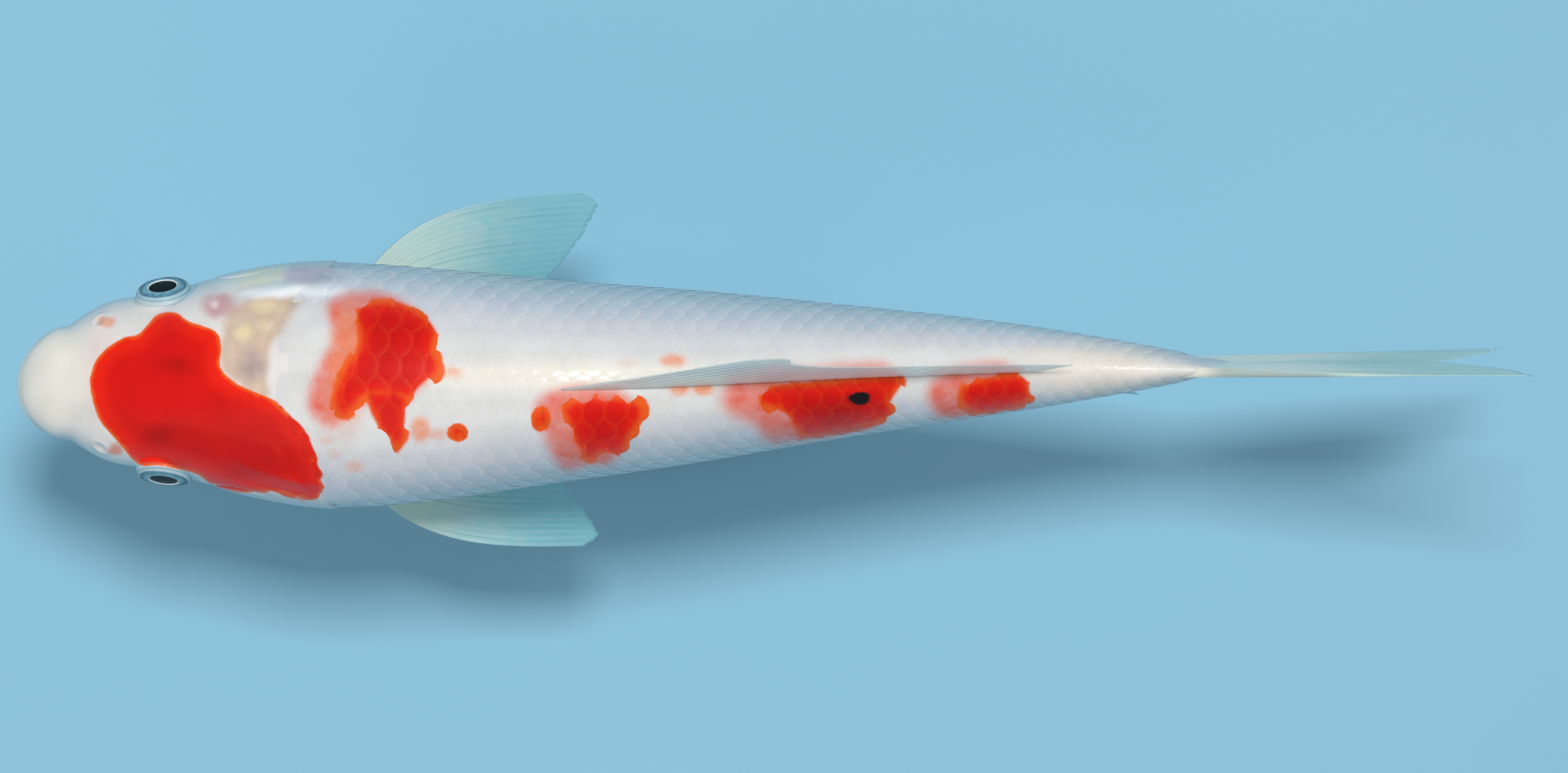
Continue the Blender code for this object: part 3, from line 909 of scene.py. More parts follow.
class Finish(NodeGraph):
    """The node graph of one material, ending in a Principled shader."""

    def __init__(self, name: str, **constants: Any) -> None:
        """Starts a material.

        Args:
            name: the material's name.
            constants: shader sockets that are the same all over, with _ for a space.
        """
        self.material = bpy.data.materials.new(name)
        self.material.use_nodes = True
        super().__init__(self.material.node_tree)
        self.shader = self.node("ShaderNodeBsdfPrincipled")
        self.output = self.node("ShaderNodeOutputMaterial", None, {"Surface": self.shader.outputs[0]})
        self.set(**constants)

    def set(self, **sockets: Any) -> None:
        """Feeds the shader's sockets, named with _ for a space."""
        for name, given in sockets.items():
            self.feed(self.shader.inputs[name.replace("_", " ")], given)

    def attribute(self, name: str, output: str = "Fac") -> Value:
        """A number stored on the mesh, or with another output its Vector or Color."""
        return self.value("ShaderNodeAttribute", {"attribute_name": name}, None, output)

    def attribute_vector(self, name: str) -> list[Value]:
        """The three parts of a vector stored on the mesh."""
        return self.parts(self.attribute(name, "Vector"))

    def noise(self, size: float, detail: float = 2.0, stretch: Place = (1, 1, 1)) -> Value:
        """Cloudy noise from 0 to 1 in the object's own coordinates.

        Args:
            size: about how large its features are, in metres.
            detail: how many finer clouds are laid over it.
            stretch: how much finer it is along each axis.

        Returns:
            The noise.
        """
        place = self.value("ShaderNodeTexCoord", None, None, "Object")
        place = self.value("ShaderNodeMapping", None, {"Vector": place, "Scale": stretch})
        inputs = {"Vector": place, "Scale": 1 / size, "Detail": detail}
        return self.value("ShaderNodeTexNoise", None, inputs, "Fac")

    def mix(self, first: Any, second: Any, amount: Any) -> Value:
        """The colour a share amount of the way from the first to the second."""
        settings = {"data_type": "RGBA", "clamp_factor": True}
        return self.value("ShaderNodeMix", settings, {"Factor": amount, 6: first, 7: second}, 2)

    def bump(self, height: Value, depth: float) -> Value:
        """A normal bent by relief, where a height of 1 stands for depth metres."""
        inputs = {"Height": height, "Strength": 1.0, "Distance": depth}
        return self.value("ShaderNodeBump", None, inputs, "Normal")


class GrowGraph(NodeGraph):
    """The node graph of a Geometry Nodes modifier with named inputs."""

    def __init__(self, name: str) -> None:
        """Starts a geometry tree with its own geometry in and out.

        Args:
            name: the tree's name.
        """
        super().__init__(bpy.data.node_groups.new(name, "GeometryNodeTree"))
        self.identifiers: dict[str, str] = {}
        self.geometry = self.input("Geometry", "NodeSocketGeometry")
        self.tree.interface.new_socket("Geometry", in_out="OUTPUT", socket_type="NodeSocketGeometry")

    def input(self, name: str, kind: str) -> Value:
        """Adds a named input and returns it.

        Args:
            name: the input's name.
            kind: its socket type.

        Returns:
            The input's value.
        """
        made = self.tree.interface.new_socket(name, in_out="INPUT", socket_type=kind)
        self.identifiers[name] = made.identifier
        source = self.tree.nodes.get("inputs") or self.tree.nodes.new("NodeGroupInput")
        source.name = "inputs"
        return Value(self, source.outputs[name])

    def named(self, name: str, kind: str = "FLOAT") -> Value:
        """A field stored on the geometry."""
        return self.value("GeometryNodeInputNamedAttribute", {"data_type": kind}, {"Name": name})

    def position(self) -> Value:
        """Where each point is."""
        return self.value("GeometryNodeInputPosition")

    def sample(self, guide: Value, field_value: Any, at: Value, kind: str = "FLOAT_VECTOR") -> Value:
        """What a field of the guide is at a place of its flat map.

        Args:
            guide: the geometry with the flat map.
            field_value: what to read there.
            at: the place in the flat map.
            kind: the field's data type.

        Returns:
            The field's value there.
        """
        flat = self.named("flat", "FLOAT_VECTOR")
        inputs = {"Mesh": guide, "Value": field_value, "Source UV Map": flat, "Sample UV": at}
        return self.value("GeometryNodeSampleUVSurface", {"data_type": kind}, inputs)

    def store(self, geometry: Value, name: str, stored: Value, kind: str = "FLOAT") -> Value:
        """Stores a field on the geometry's points under a name."""
        inputs = {"Geometry": geometry, "Name": name, "Value": stored}
        return self.value("GeometryNodeStoreNamedAttribute", {"data_type": kind, "domain": "POINT"}, inputs)

    def finish(self, geometry: Value, finish: Value) -> None:
        """Realizes, dresses and outputs the geometry.

        Args:
            geometry: what was made.
            finish: the material input.
        """
        real = self.value("GeometryNodeRealizeInstances", None, {0: geometry})
        dressed = self.value("GeometryNodeSetMaterial", None, {"Geometry": real, "Material": finish})
        self.node("NodeGroupOutput", None, {0: dressed})

    def grow(self, guide: Mesh, name: str, inputs: dict[str, Any]) -> Mesh:
        """Runs the tree on a guide mesh.

        Args:
            guide: the mesh that the tree starts from.
            name: what to call the result.
            inputs: values for the tree's named inputs.

        Returns:
            The result as a plain mesh.
        """
        carrier = bpy.data.objects.new(name + "_carrier", guide)
        bpy.context.scene.collection.objects.link(carrier)
        modifier = carrier.modifiers.new("grow", "NODES")
        modifier.node_group = self.tree
        for label, given in inputs.items():
            modifier[self.identifiers[label]] = given
        depsgraph = bpy.context.evaluated_depsgraph_get()
        made = bpy.data.meshes.new_from_object(
            carrier.evaluated_get(depsgraph), preserve_all_data_layers=True, depsgraph=depsgraph
        )
        made.name = name
        carrier.modifiers.remove(modifier)
        bpy.data.objects.remove(carrier)
        return made


# ---- finishes ----


@dataclass(frozen=True)
class SkinFinish:
    """Wet skin or scales with the markings that the mesh carries."""

    name: str
    scaled: bool
    rim_orange: Colour = paint(250, 96, 22)
    bright_red: Colour = paint(248, 30, 0)
    full_red: Colour = paint(226, 8, 0)
    deep_red: Colour = paint(150, 2, 0)
    rose: Colour = paint(240, 106, 84)
    faint_orange: Colour = paint(250, 140, 84)
    ink: Colour = paint(14, 10, 14)
    # dark teal of the painted shade lines in the lid folds, also used for the side line's pores
    crease: Colour = paint(84, 128, 140)
    socket: Colour = paint(146, 188, 204)
    # painted shade in the gill opening and the mouth's slit
    fold: Colour = paint(126, 92, 92)
    white: Colour = paint(255, 255, 255)
    # pearl varies each scale at random; root_shade is painted shade on each scale's covered front; the pale
    # rim is partly its own edge, partly painted highlight
    pearl: Colour = paint(206, 210, 220)
    root_shade: Colour = paint(150, 182, 200)
    rim_white: Colour = paint(255, 253, 250)
    # angle, width and strength of each painted shade line in the lid folds, in degrees
    eye_rings: tuple[Place, ...] = ((54.5, 1.6, 0.70), (62.5, 1.4, 0.75), (72.0, 1.6, 0.35))
    growth_rings: float = 46.0  # radians of ripple from a scale's middle to its rim
    edge_width: float = 0.22  # millimetres over which the red begins

    def make(self) -> Material:
        """The material.

        Returns:
            The finished material.
        """
        graph = Finish(
            self.name, IOR=1.40, Subsurface_Weight=0.12, Subsurface_Radius=(1.0, 0.45, 0.3),
            Subsurface_Scale=0.0016, Specular_IOR_Level=0.32, Coat_Roughness=0.10, Coat_IOR=1.33,
        )
        cloud = graph.noise(0.0022, 3)
        fine = graph.noise(0.0006, 2)
        wobble = (cloud - 0.5) * 1.1 + (fine - 0.5) * 0.35
        own = graph.attribute("red_place") + wobble
        whole = graph.attribute("red_scale") + wobble * 0.35
        inside = 0.5 - own if self.scaled else -own
        colour = graph.mix(graph.attribute("ground", "Color"), self.white, (cloud - 0.45) * 0.35)
        if self.scaled:
            colour = self.scale_relief_colour(graph, colour)
        else:
            colour = graph.mix(colour, self.socket, graph.attribute("eye_angle").step(84, 58) * 0.80)
        pink = graph.attribute("pink") * (graph.noise(0.004, 2) * 0.7 + 0.55)
        colour = graph.mix(colour, self.rose, pink * 0.95)
        colour = graph.mix(colour, self.faint_orange, graph.attribute("orange") * (cloud + 0.4))
        rim = graph.attribute("rim") * inside
        red = graph.mix(self.rim_orange, self.bright_red, rim.step(0.15, 1.0))
        red = graph.mix(red, self.full_red, inside.step(0.9, 5.0))
        depth = graph.attribute("dark") * 0.9 + (graph.noise(0.007, 2) - 0.5) * 0.5
        red = graph.mix(red, self.deep_red, depth)
        if self.scaled:
            x, _, radius = graph.attribute_vector("leaf")
            # painted shade darkens the red on each scale's covered front; the orange at its rim is partly its
            # own edge, partly painted highlight
            red = graph.mix(red, self.deep_red, x.step(0.20, -0.35) * 0.12)
            red = graph.mix(red, self.rim_orange, radius.step(0.72, 0.97) * x.step(-0.1, 0.25) * 0.13)
        colour = graph.mix(colour, red, whole.step(self.edge_width, -self.edge_width))
        ink = (graph.attribute("black") + (cloud - 0.5) * 0.8).step(0.25, -0.35)
        colour = graph.mix(colour, self.ink, ink)
        if not self.scaled:
            colour = self.eye_folds(graph, colour)
            # painted shade in the gill opening and the mouth's slit
            colour = graph.mix(colour, self.fold, graph.attribute("fold") * 0.55)
        graph.set(
            Base_Color=colour, Roughness=graph.noise(0.003, 2) * 0.14 + 0.34, Coat_Weight=0.16,
            Normal=self.relief(graph),
        )
        return graph.material

    def scale_relief_colour(self, graph: Finish, colour: Value) -> Value:
        """Whitens the rear rim of each scale, partly as painted highlight, and cools its middle with painted
        shade, most where the skin faces sideways.

        Args:
            graph: the material's graph.
            colour: the colour so far.

        Returns:
            The colour with random tones, painted shade and highlight on the scales, and the side line's
            pores.
        """
        x, _, radius = graph.attribute_vector("leaf")
        flank = graph.attribute("flank")
        rim = radius.step(0.70, 0.97) * x.step(-0.1, 0.25)
        root = x.step(0.30, -0.4)
        off = graph.math("ABSOLUTE", graph.attribute("side_line"))
        pore = off.step(0.42, 0.20) * graph.math("ABSOLUTE", x - 0.05).step(0.32, 0.2)
        tone = graph.attribute("tone")
        colour = graph.mix(colour, self.pearl, (tone - 0.35) * (flank * 0.12 + 0.05))
        # painted shade on each scale's covered front and painted highlight on its rim, most where the skin
        # faces sideways
        colour = graph.mix(colour, self.root_shade, root * (flank * 0.13 + 0.03))
        colour = graph.mix(colour, self.crease, pore * 0.42)
        return graph.mix(colour, self.rim_white, rim * (flank * 0.20 + 0.07))

    def eye_folds(self, graph: Finish, colour: Value) -> Value:
        """Paints thin dark lines of shade in the folds that ring each eye.

        Args:
            graph: the material's graph.
            colour: the colour so far.

        Returns:
            The colour with the folds.
        """
        angle = graph.attribute("eye_angle")
        for middle, width, strength in self.eye_rings:
            line = angle.step(middle - width, middle) * angle.step(middle + width, middle)
            colour = graph.mix(colour, self.crease, line * strength)
        return colour

    def relief(self, graph: Finish) -> Value:
        """Growth rings on scales, or fine pores on bare skin.

        Args:
            graph: the material's graph.

        Returns:
            The bent normal.
        """
        if not self.scaled:
            return graph.bump(graph.noise(0.0009, 3), 0.00005)
        radius = graph.attribute_vector("leaf")[2]
        rings = graph.math("SINE", radius * self.growth_rings) * 0.5 + 0.5
        return graph.bump(rings * 0.35 + graph.noise(0.0007, 2), 0.00003)


@dataclass(frozen=True)
class FinFinish:
    """Milky, translucent fin skin, or the bony rays in it."""

    name: str
    rays: int
    root: Colour = paint(222, 234, 230)
    tip: Colour = paint(146, 204, 214)
    line: Colour = paint(70, 128, 144)
    stain: Colour = paint(150, 60, 70)
    light: Colour = paint(244, 250, 248)
    root_alpha: float = 0.95
    tip_alpha: float = 0.66
    stained: bool = False

    def make(self) -> Material:
        """The material.

        Returns:
            The finished material.
        """
        graph = Finish(
            self.name, IOR=1.40, Coat_Roughness=0.15, Subsurface_Weight=0.7,
            Subsurface_Radius=(1.0, 1.0, 1.0), Subsurface_Scale=0.0015,
        )
        u, v, _ = graph.attribute_vector("fan")
        cloud = graph.noise(0.004, 3)
        colour = graph.mix(self.root, self.tip, (v + (cloud - 0.5) * 0.5).step(0.12, 0.85))
        lane = (u * self.rays) % 1.0
        apart = graph.math("ABSOLUTE", lane - 0.5) * 2
        flat = graph.vector(u * self.rays * 0.9, v * 1.6, 0)
        settings, inputs = {"noise_dimensions": "2D"}, {"Vector": flat, "Scale": 1.0}
        streak = graph.value("ShaderNodeTexNoise", settings, inputs, "Fac")
        thin = apart.step(0.80, 0.98) * streak.step(0.46, 0.62) * v.step(0.03, 0.14) * v.step(0.98, 0.8)
        colour = graph.mix(colour, self.line, thin * 0.50)
        colour = graph.mix(colour, self.light, apart.step(0.5, 0.0) * 0.10)
        if self.stained:
            colour = graph.mix(colour, self.stain, v.step(0.16, 0.02) * 0.5)
        alpha = self.tip_alpha + (self.root_alpha - self.tip_alpha) * v.step(1.0, 0.2)
        alpha = alpha + (cloud - 0.5) * 0.12
        graph.set(Base_Color=colour, Roughness=0.34, Coat_Weight=0.3, Alpha=alpha)
        graph.material.surface_render_method = "DITHERED"
        graph.set(Normal=graph.bump(apart * 0.5 + graph.noise(0.0006, 2) * 0.5, 0.00003))
        return graph.material


@dataclass(frozen=True)
class IrisFinish:
    """The eye behind the cornea: black pupil, bright thin ring and a silvery, smoky iris."""

    pupil: Colour = paint(1, 1, 3)
    ring: Colour = paint(236, 240, 238)
    silver: Colour = paint(132, 182, 200)
    smoke: Colour = paint(84, 132, 152)

    def make(self) -> Material:
        """The material.

        Returns:
            The finished material.
        """
        graph = Finish("eye_iris", Specular_IOR_Level=0.04, IOR=1.40)
        out = graph.attribute("from_axis")
        cloud = graph.noise(0.0011, 3)
        colour = graph.mix(self.silver, self.smoke, (out + (cloud - 0.5) * 0.5).step(0.66, 0.98))
        colour = graph.mix(colour, self.smoke, cloud.step(0.5, 0.75) * 0.4)
        lower = graph.attribute("lower").step(-0.2, 0.9)
        colour = graph.mix(colour, self.ring, (out - lower * 0.09).step(0.65, 0.62))
        colour = graph.mix(colour, self.pupil, out.step(0.60, 0.585))
        graph.set(Base_Color=colour, Roughness=0.3)
        return graph.material


@dataclass(frozen=True)
class CorneaFinish:
    """The clear, faintly blue dome of the eye, clouded only at its rim."""

    tint: Colour = paint(140, 196, 214)
    edge: Colour = paint(206, 232, 238)

    def make(self) -> Material:
        """The material.

        Returns:
            The finished material.
        """
        graph = Finish("eye_cornea", Roughness=0.03, IOR=1.45, Coat_Weight=1.0, Coat_Roughness=0.02)
        out = graph.attribute("from_axis")
        cloud = graph.noise(0.003, 2)
        graph.set(
            Base_Color=graph.mix(self.tint, self.edge, out.step(0.78, 0.98)),
            Alpha=out.step(0.78, 0.93) * (0.14 + cloud * 0.24) + 0.006,
        )
        return graph.material


@dataclass(frozen=True)
class BoardFinish:
    """Satin white plastic of the stand's plate."""

    colour: Colour = paint(226, 226, 224)
    shade: Colour = paint(208, 210, 210)

    def make(self) -> Material:
        """The material.

        Returns:
            The finished material.
        """
        graph = Finish("stand_board_satin", IOR=1.46)
        cloud = graph.noise(0.02, 4)
        grain = graph.noise(0.0004, 2)
        graph.set(
            Base_Color=graph.mix(self.colour, self.shade, cloud * 0.4), Roughness=cloud * 0.12 + 0.40,
            Normal=graph.bump(grain, 0.00002),
        )
        return graph.material


@dataclass(frozen=True)
class SteelFinish:
    """Satin steel of the stand's rods, drawn lengthwise."""

    colour: Colour = paint(196, 198, 202)
    shade: Colour = paint(150, 152, 158)

    def make(self) -> Material:
        """The material.

        Returns:
            The finished material.
        """
        graph = Finish("stand_steel_satin", Metallic=1.0)
        drawn = graph.noise(0.0004, 3, stretch=(1, 1, 0.02))
        graph.set(
            Base_Color=graph.mix(self.colour, self.shade, drawn * 0.5), Roughness=drawn * 0.2 + 0.24,
            Normal=graph.bump(drawn, 0.00001),
        )
        return graph.material


@dataclass(frozen=True)
class FloorFinish:
    """Pale, plain studio floor."""

    colour: Colour = paint(134, 190, 216)
    shade: Colour = paint(148, 200, 222)

    def make(self) -> Material:
        """The material.

        Returns:
            The finished material.
        """
        graph = Finish("floor_plain", Roughness=0.75)
        graph.set(Base_Color=graph.mix(self.colour, self.shade, graph.noise(0.3, 3)))
        return graph.material


# ---- the skin ----


def circle_through(a: Pair, b: Pair, c: Pair) -> tuple[float, float, float]:
    """Centre and radius of the circle through three flat points.

    Args:
        a: the first point.
        b: the second.
        c: the third.

    Returns:
        The centre's two coordinates and the radius.
    """
    (ax, ay), (bx, by), (cx, cy) = a, b, c
    d = 2 * (ax * (by - cy) + bx * (cy - ay) + cx * (ay - by))
    a2, b2, c2 = ax**2 + ay**2, bx**2 + by**2, cx**2 + cy**2
    x = (a2 * (by - cy) + b2 * (cy - ay) + c2 * (ay - by)) / d
    y = (a2 * (cx - bx) + b2 * (ax - cx) + c2 * (bx - ax)) / d
    return x, y, math.hypot(ax - x, ay - y)


@dataclass(frozen=True)
class EyeSize:
    """Where each eye sits and how far it looks up."""

    along: float = 0.132
    out: float = 0.0700
    up: float = 0.020
    radius: float = 6.35 * MM
    opening: float = math.radians(53)
    forward: float = 0.10
    gaze: dict[Side, float] = field(
        default_factory=lambda: {Side.RIGHT: math.radians(25), Side.LEFT: math.radians(17)}
    )

    def centre(self, form: BodyForm, side: Side) -> Array:
        """The middle of the eyeball."""
        return form.place(self.along, side.value * self.out, self.up)

    def axis(self, side: Side) -> Array:
        """The way the eye looks."""
        rise = self.gaze[side]
        return unit(np.array((-self.forward, side.value * math.cos(rise), math.sin(rise))))


@dataclass(frozen=True)
class Skin:
    """One skin over the whole body, lying inside the solids by the coat's depth where it is scaled."""

    form: BodyForm
    eyes: EyeSize
    nape: Pair = (0.218, 0.107)
    gill_rear: Pair = (0.279, -0.012)
    throat: Pair = (0.178, -0.104)
    gill_front: float = 0.172
    gill_top: float = 0.040
    gill_bottom: float = -0.082
    gill_corner: float = 0.034
    coat_depth: float = 0.20 * MM
    mouth_tip: float = -0.019
    mouth_corner: Pair = (0.050, -0.037)
    nostril: Place = (0.078, 0.0520, 0.0190)
    gill_rise: float = 0.15 * MM
    gill_drop: float = 0.28 * MM
    groove_depth: float = 0.30 * MM
    ridge_height: float = 0.30 * MM
    pit_depth: float = 1.0 * MM
    pit_rim: float = 0.22 * MM
    lip_skew: Place = (-0.15 * MM, -1.0 * MM, 0.0)
    columns: int = 300
    margin: float = 0.01  # left free round the skin laid flat

    def behind_head(self, points: Array) -> Array:
        """How far each point is behind the head's rear edge, in metres, negative on the head.

        Args:
            points: places in metres.

        Returns:
            One distance for each point.
        """
        along, _, up = self.form.shares(points)
        x, y, radius = circle_through(self.nape, self.gill_rear, self.throat)
        return (np.hypot(np.maximum(along - x, 0), up - y) - radius) * self.form.length

    @staticmethod
    def on_cover(up: Array) -> Array:
        """How much each height belongs to the gill cover, 0 to 1."""
        return ease((0.054 - up) / 0.030) * ease((up + 0.112) / 0.03)

    def mouth_line(self, along: Array) -> Array:
        """The height of the mouth's slit at each place, as a share of the body's length."""
        return lerp(self.mouth_tip, self.mouth_corner[1], np.clip(along / self.mouth_corner[0], 0, 1.3))

    def relief(self, points: Array, upward: Array) -> Array:
        """How far the skin stands off the plain body, in metres.

        Args:
            points: places in metres.
            upward: how far the plain body faces up there.

        Returns:
            One height for each point.
        """
        along, side, up = self.form.shares(points)
        length = self.form.length
        beyond = self.behind_head(points)
        lift = -self.coat_depth * ease((beyond + 0.2 * MM) / (1.0 * MM)) * ease((1.03 - along) / 0.04)

        cover = self.on_cover(up)
        step = ease((beyond + 0.3 * MM) / (0.6 * MM))
        lift += cover * self.gill_rise * np.exp(np.minimum(beyond, 0) / (6 * MM)) * (1 - step)
        lift -= cover * self.gill_drop * step * np.exp(-np.maximum(beyond, 0) / (4.0 * MM))

        middle, half = (self.gill_top + self.gill_bottom) / 2, (self.gill_top - self.gill_bottom) / 2
        corner = self.gill_corner
        ahead = np.maximum(self.gill_front + corner - along, 0)
        beside = np.maximum(np.abs(up - middle) - (half - corner), 0)
        groove = (np.hypot(ahead, beside) - corner) * length
        flank = ease((np.abs(side) - 0.045) / 0.02)
        lift -= self.groove_depth * bell(groove / (0.55 * MM)) * flank * ease((0.235 - along) / 0.03)

        ridge = bell((up - 0.079) * length / (1.3 * MM)) - 0.7 * bell((up - 0.062) * length / (1.6 * MM))
        lift += self.ridge_height * ridge * ease((along - 0.185) / 0.03) * ease((0.285 - along) / 0.03)

        lift += self.mouth_relief(along, up, upward)
        for hand in Side:
            x, out, high = self.nostril
            pit = self.form.place(x, hand.value * out, high + self.form.snout_droop)
            away = np.linalg.norm(points - pit, axis=-1)
            lift -= self.pit_depth * bell(away / (1.15 * MM))
            lift += self.pit_rim * bell((away - 2.1 * MM) / (0.6 * MM))
        return lift

    def creases(self, points: Array) -> Array:
        """How strongly painted shade darkens each place of the head in the gill opening and the mouth's slit,
        0 to 1.

        Args:
            points: places in metres.

        Returns:
            One strength for each place.
        """
        along, _, up = self.form.shares(points)
        beyond = self.behind_head(points)
        gill = bell((beyond - 0.35 * MM) / (0.45 * MM)) * self.on_cover(up) * (along > 0.15)
        mouth = bell((up - self.mouth_line(along)) * self.form.length / (0.38 * MM))
        return np.maximum(gill, mouth * ease((self.mouth_corner[0] + 0.004 - along) / 0.008))

    def mouth_relief(self, along: Array, up: Array, upward: Array) -> Array:
        """The slit of the mouth, the rolls of both lips and the crease behind them.

        Args:
            along: shares of the body's length.
            up: shares above the axis.
            upward: how far the body faces up there.

        Returns:
            Heights in metres.
        """
        line = self.mouth_line(along)
        off = (up - line) * self.form.length
        near = ease((self.mouth_corner[0] + 0.006 - along) / 0.012)
        lips = 0.42 * bell((off - 1.7 * MM) / (1.15 * MM)) + 0.45 * bell((off + 1.6 * MM) / (1.15 * MM))
        slit = -1.1 * bell(off / (0.42 * MM))
        crease_at = 0.044 + 0.006 * np.clip(upward, -1, 1)
        crease = -(0.05 + 0.30 * ease((0.75 - upward) / 0.7)) * bell((along - crease_at) / 0.0065)
        return ((lips + slit) * near + crease * ease((up - line) / 0.01)) * MM

    def surface(self, along: Array, around: Array) -> tuple[Array, Array]:
        """Points and outward directions of the finished skin.

        Args:
            along: shares of the body's length.
            around: angles round the axis.

        Returns:
            Points in metres and directions of length 1.
        """
        base = self.form.surface(along, around)
        small = 4e-4
        lengthwise = self.form.surface(along + small, around) - self.form.surface(along - small, around)
        crosswise = self.form.surface(along, around + small) - self.form.surface(along, around - small)
        outward = unit(np.cross(lengthwise, crosswise))
        points = base + outward * self.relief(base, outward[..., 2])[..., None]
        return self.seat_eyes(self.offset_jaw(points)), outward

    def offset_jaw(self, points: Array) -> Array:
        """Lets the lower lip stand out a little to the left of the upper.

        Args:
            points: places in metres.

        Returns:
            The moved points.
        """
        along, _, up = self.form.shares(points)
        amount = ease((self.mouth_tip - 0.002 - up) / 0.010) * ease((0.075 - along) / 0.05)
        return points + amount[..., None] * np.array(self.lip_skew)

    def seat_eyes(self, points: Array) -> Array:
        """Raises a folded rim round each eye and leaves the socket open.

        Args:
            points: places in metres.

        Returns:
            The moved points.
        """
        for side in Side:
            centre, axis = self.eyes.centre(self.form, side), self.eyes.axis(side)
            spoke = points - centre
            apart = np.linalg.norm(spoke, axis=-1)
            angle = self.angle_from(points, side)
            opening, size = self.eyes.opening, self.eyes.radius
            turn = np.degrees(angle - opening)
            lid = size + (0.02 + 0.14 * ease(turn / 5) - 0.12 * bell((turn - 8.5) / 2.2)) * MM
            lid = lid - 0.10 * MM * bell((turn - 18) / 3.0) - 1.6 * MM * ease((turn - 22) / 40)
            rim = soft_max(apart, lid, 1.1 * MM)
            inside = ease(turn / 3.0 + 0.5)
            reach = lerp(np.minimum(apart, 0.46 * size), rim, inside)
            chosen = (apart < 15 * MM) & ((spoke @ axis) > -0.25 * apart)
            points = np.where(chosen[..., None], centre + spoke / apart[..., None] * reach[..., None], points)
        return points

    def angle_from(self, points: Array, side: Side) -> Array:
        """The angle between the eye's axis and each point, seen from the eye's middle."""
        spoke = unit(points - self.eyes.centre(self.form, side))
        return np.arccos(np.clip(spoke @ self.eyes.axis(side), -1, 1))

    def rings(self) -> Array:
        """Where the skin's rings lie, closest on the head.

        Returns:
            Shares of the body's length, from the snout on.
        """
        nose, end = self.form.nose, self.form.end
        snout = nose * (1 - np.cos(np.linspace(0.02, math.pi / 2, 26, endpoint=False)))
        tail = end - self.form.tail_rounding * (1 - np.cos(np.linspace(math.pi / 2, 0.05, 12)))
        rear = (0.290, end - self.form.tail_rounding, 84)
        stretches = ((nose, 0.098, 36), (0.098, 0.168, 66), (0.168, 0.290, 70), rear)
        middle = [np.linspace(start, stop, count, endpoint=False) for start, stop, count in stretches]
        return np.concatenate((snout, *middle, tail))

    def turns(self) -> Array:
        """Angles of the skin's columns, closest at the height of the eyes.

        Returns:
            Angles round the axis, from the belly round.
        """
        fine = np.linspace(-math.pi, math.pi, 4001)
        density = 1 + 1.7 * bell((np.abs(fine) - math.radians(77)) / math.radians(20))
        total = np.concatenate(([0], np.cumsum((density[1:] + density[:-1]) / 2)))
        return np.interp(np.arange(self.columns) / self.columns * total[-1], total, fine)

    def build(self, markings: Markings, finish: Material) -> bpy.types.Object:
        """The skin as one closed piece that stands for every solid of flesh.

        Args:
            markings: the fish's markings.
            finish: the skin's material.

        Returns:
            The piece.
        """
        along, around = np.meshgrid(self.rings(), self.turns(), indexing="ij")
        points, _ = self.surface(along, around)
        rows, columns = along.shape
        flat = np.concatenate((points.reshape(-1, 3), points[0].mean(0)[None], points[-1].mean(0)[None]))
        mesh = new_mesh("koi_skin", flat, [face[::-1] for face in tube_faces(rows, columns)])
        turn_outwards(mesh)
        self.write_unwrap(mesh, rows, columns)
        markings.write(mesh, vertex_normals(mesh)[:, 2])
        angles = []
        for side in Side:
            apart = np.linalg.norm(flat - self.eyes.centre(self.form, side), axis=1)
            angles.append(np.degrees(self.angle_from(flat, side)) + 60 * ease((apart / MM - 7.6) / 2.6))
        write_values(mesh, "eye_angle", np.minimum(*angles))
        # strength of the painted shade in the gill opening and the mouth's slit
        write_values(mesh, "fold", self.creases(flat))
        kinds = ("head", "upper_lip", "lower_jaw", "gill_cover", "trunk", "tail_stalk")
        flesh = [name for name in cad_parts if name.startswith(kinds)]
        return add_piece("koi_skin", mesh, finish, flesh)

    def write_unwrap(self, mesh: Mesh, rows: int, columns: int) -> None:
        """Lays the skin flat, cut along the belly, in the OFBake map.

        Args:
            mesh: the mesh.
            rows: how many rings the skin has.
            columns: how many points are in a ring.
        """
        vertex = corner_vertices(mesh)
        ring = np.minimum(vertex // columns, rows - 1) / (rows - 1)
        column = np.where(vertex < rows * columns, vertex % columns, -1).astype(float)
        ring[vertex == rows * columns] = 0
        loops = read(mesh.polygons, "loop_total", 1, np.int32)
        face = np.repeat(np.arange(len(loops)), loops)
        highest = np.zeros(len(loops))
        np.maximum.at(highest, face, column)
        wraps = (highest[face] > columns * 0.75) & (column < columns * 0.25) & (column >= 0)
        column = np.where(wraps, column + columns, column)
        lowest = np.full(len(loops), 1e9)
        np.minimum.at(lowest, face, np.where(column >= 0, column, 1e9))
        column = np.where(column < 0, lowest[face] + 0.5, column)
        room = 1 - 2 * self.margin
        write_map(mesh, np.stack((self.margin + ring * room, self.margin + column / columns * room), -1))


# ---- the coat ----


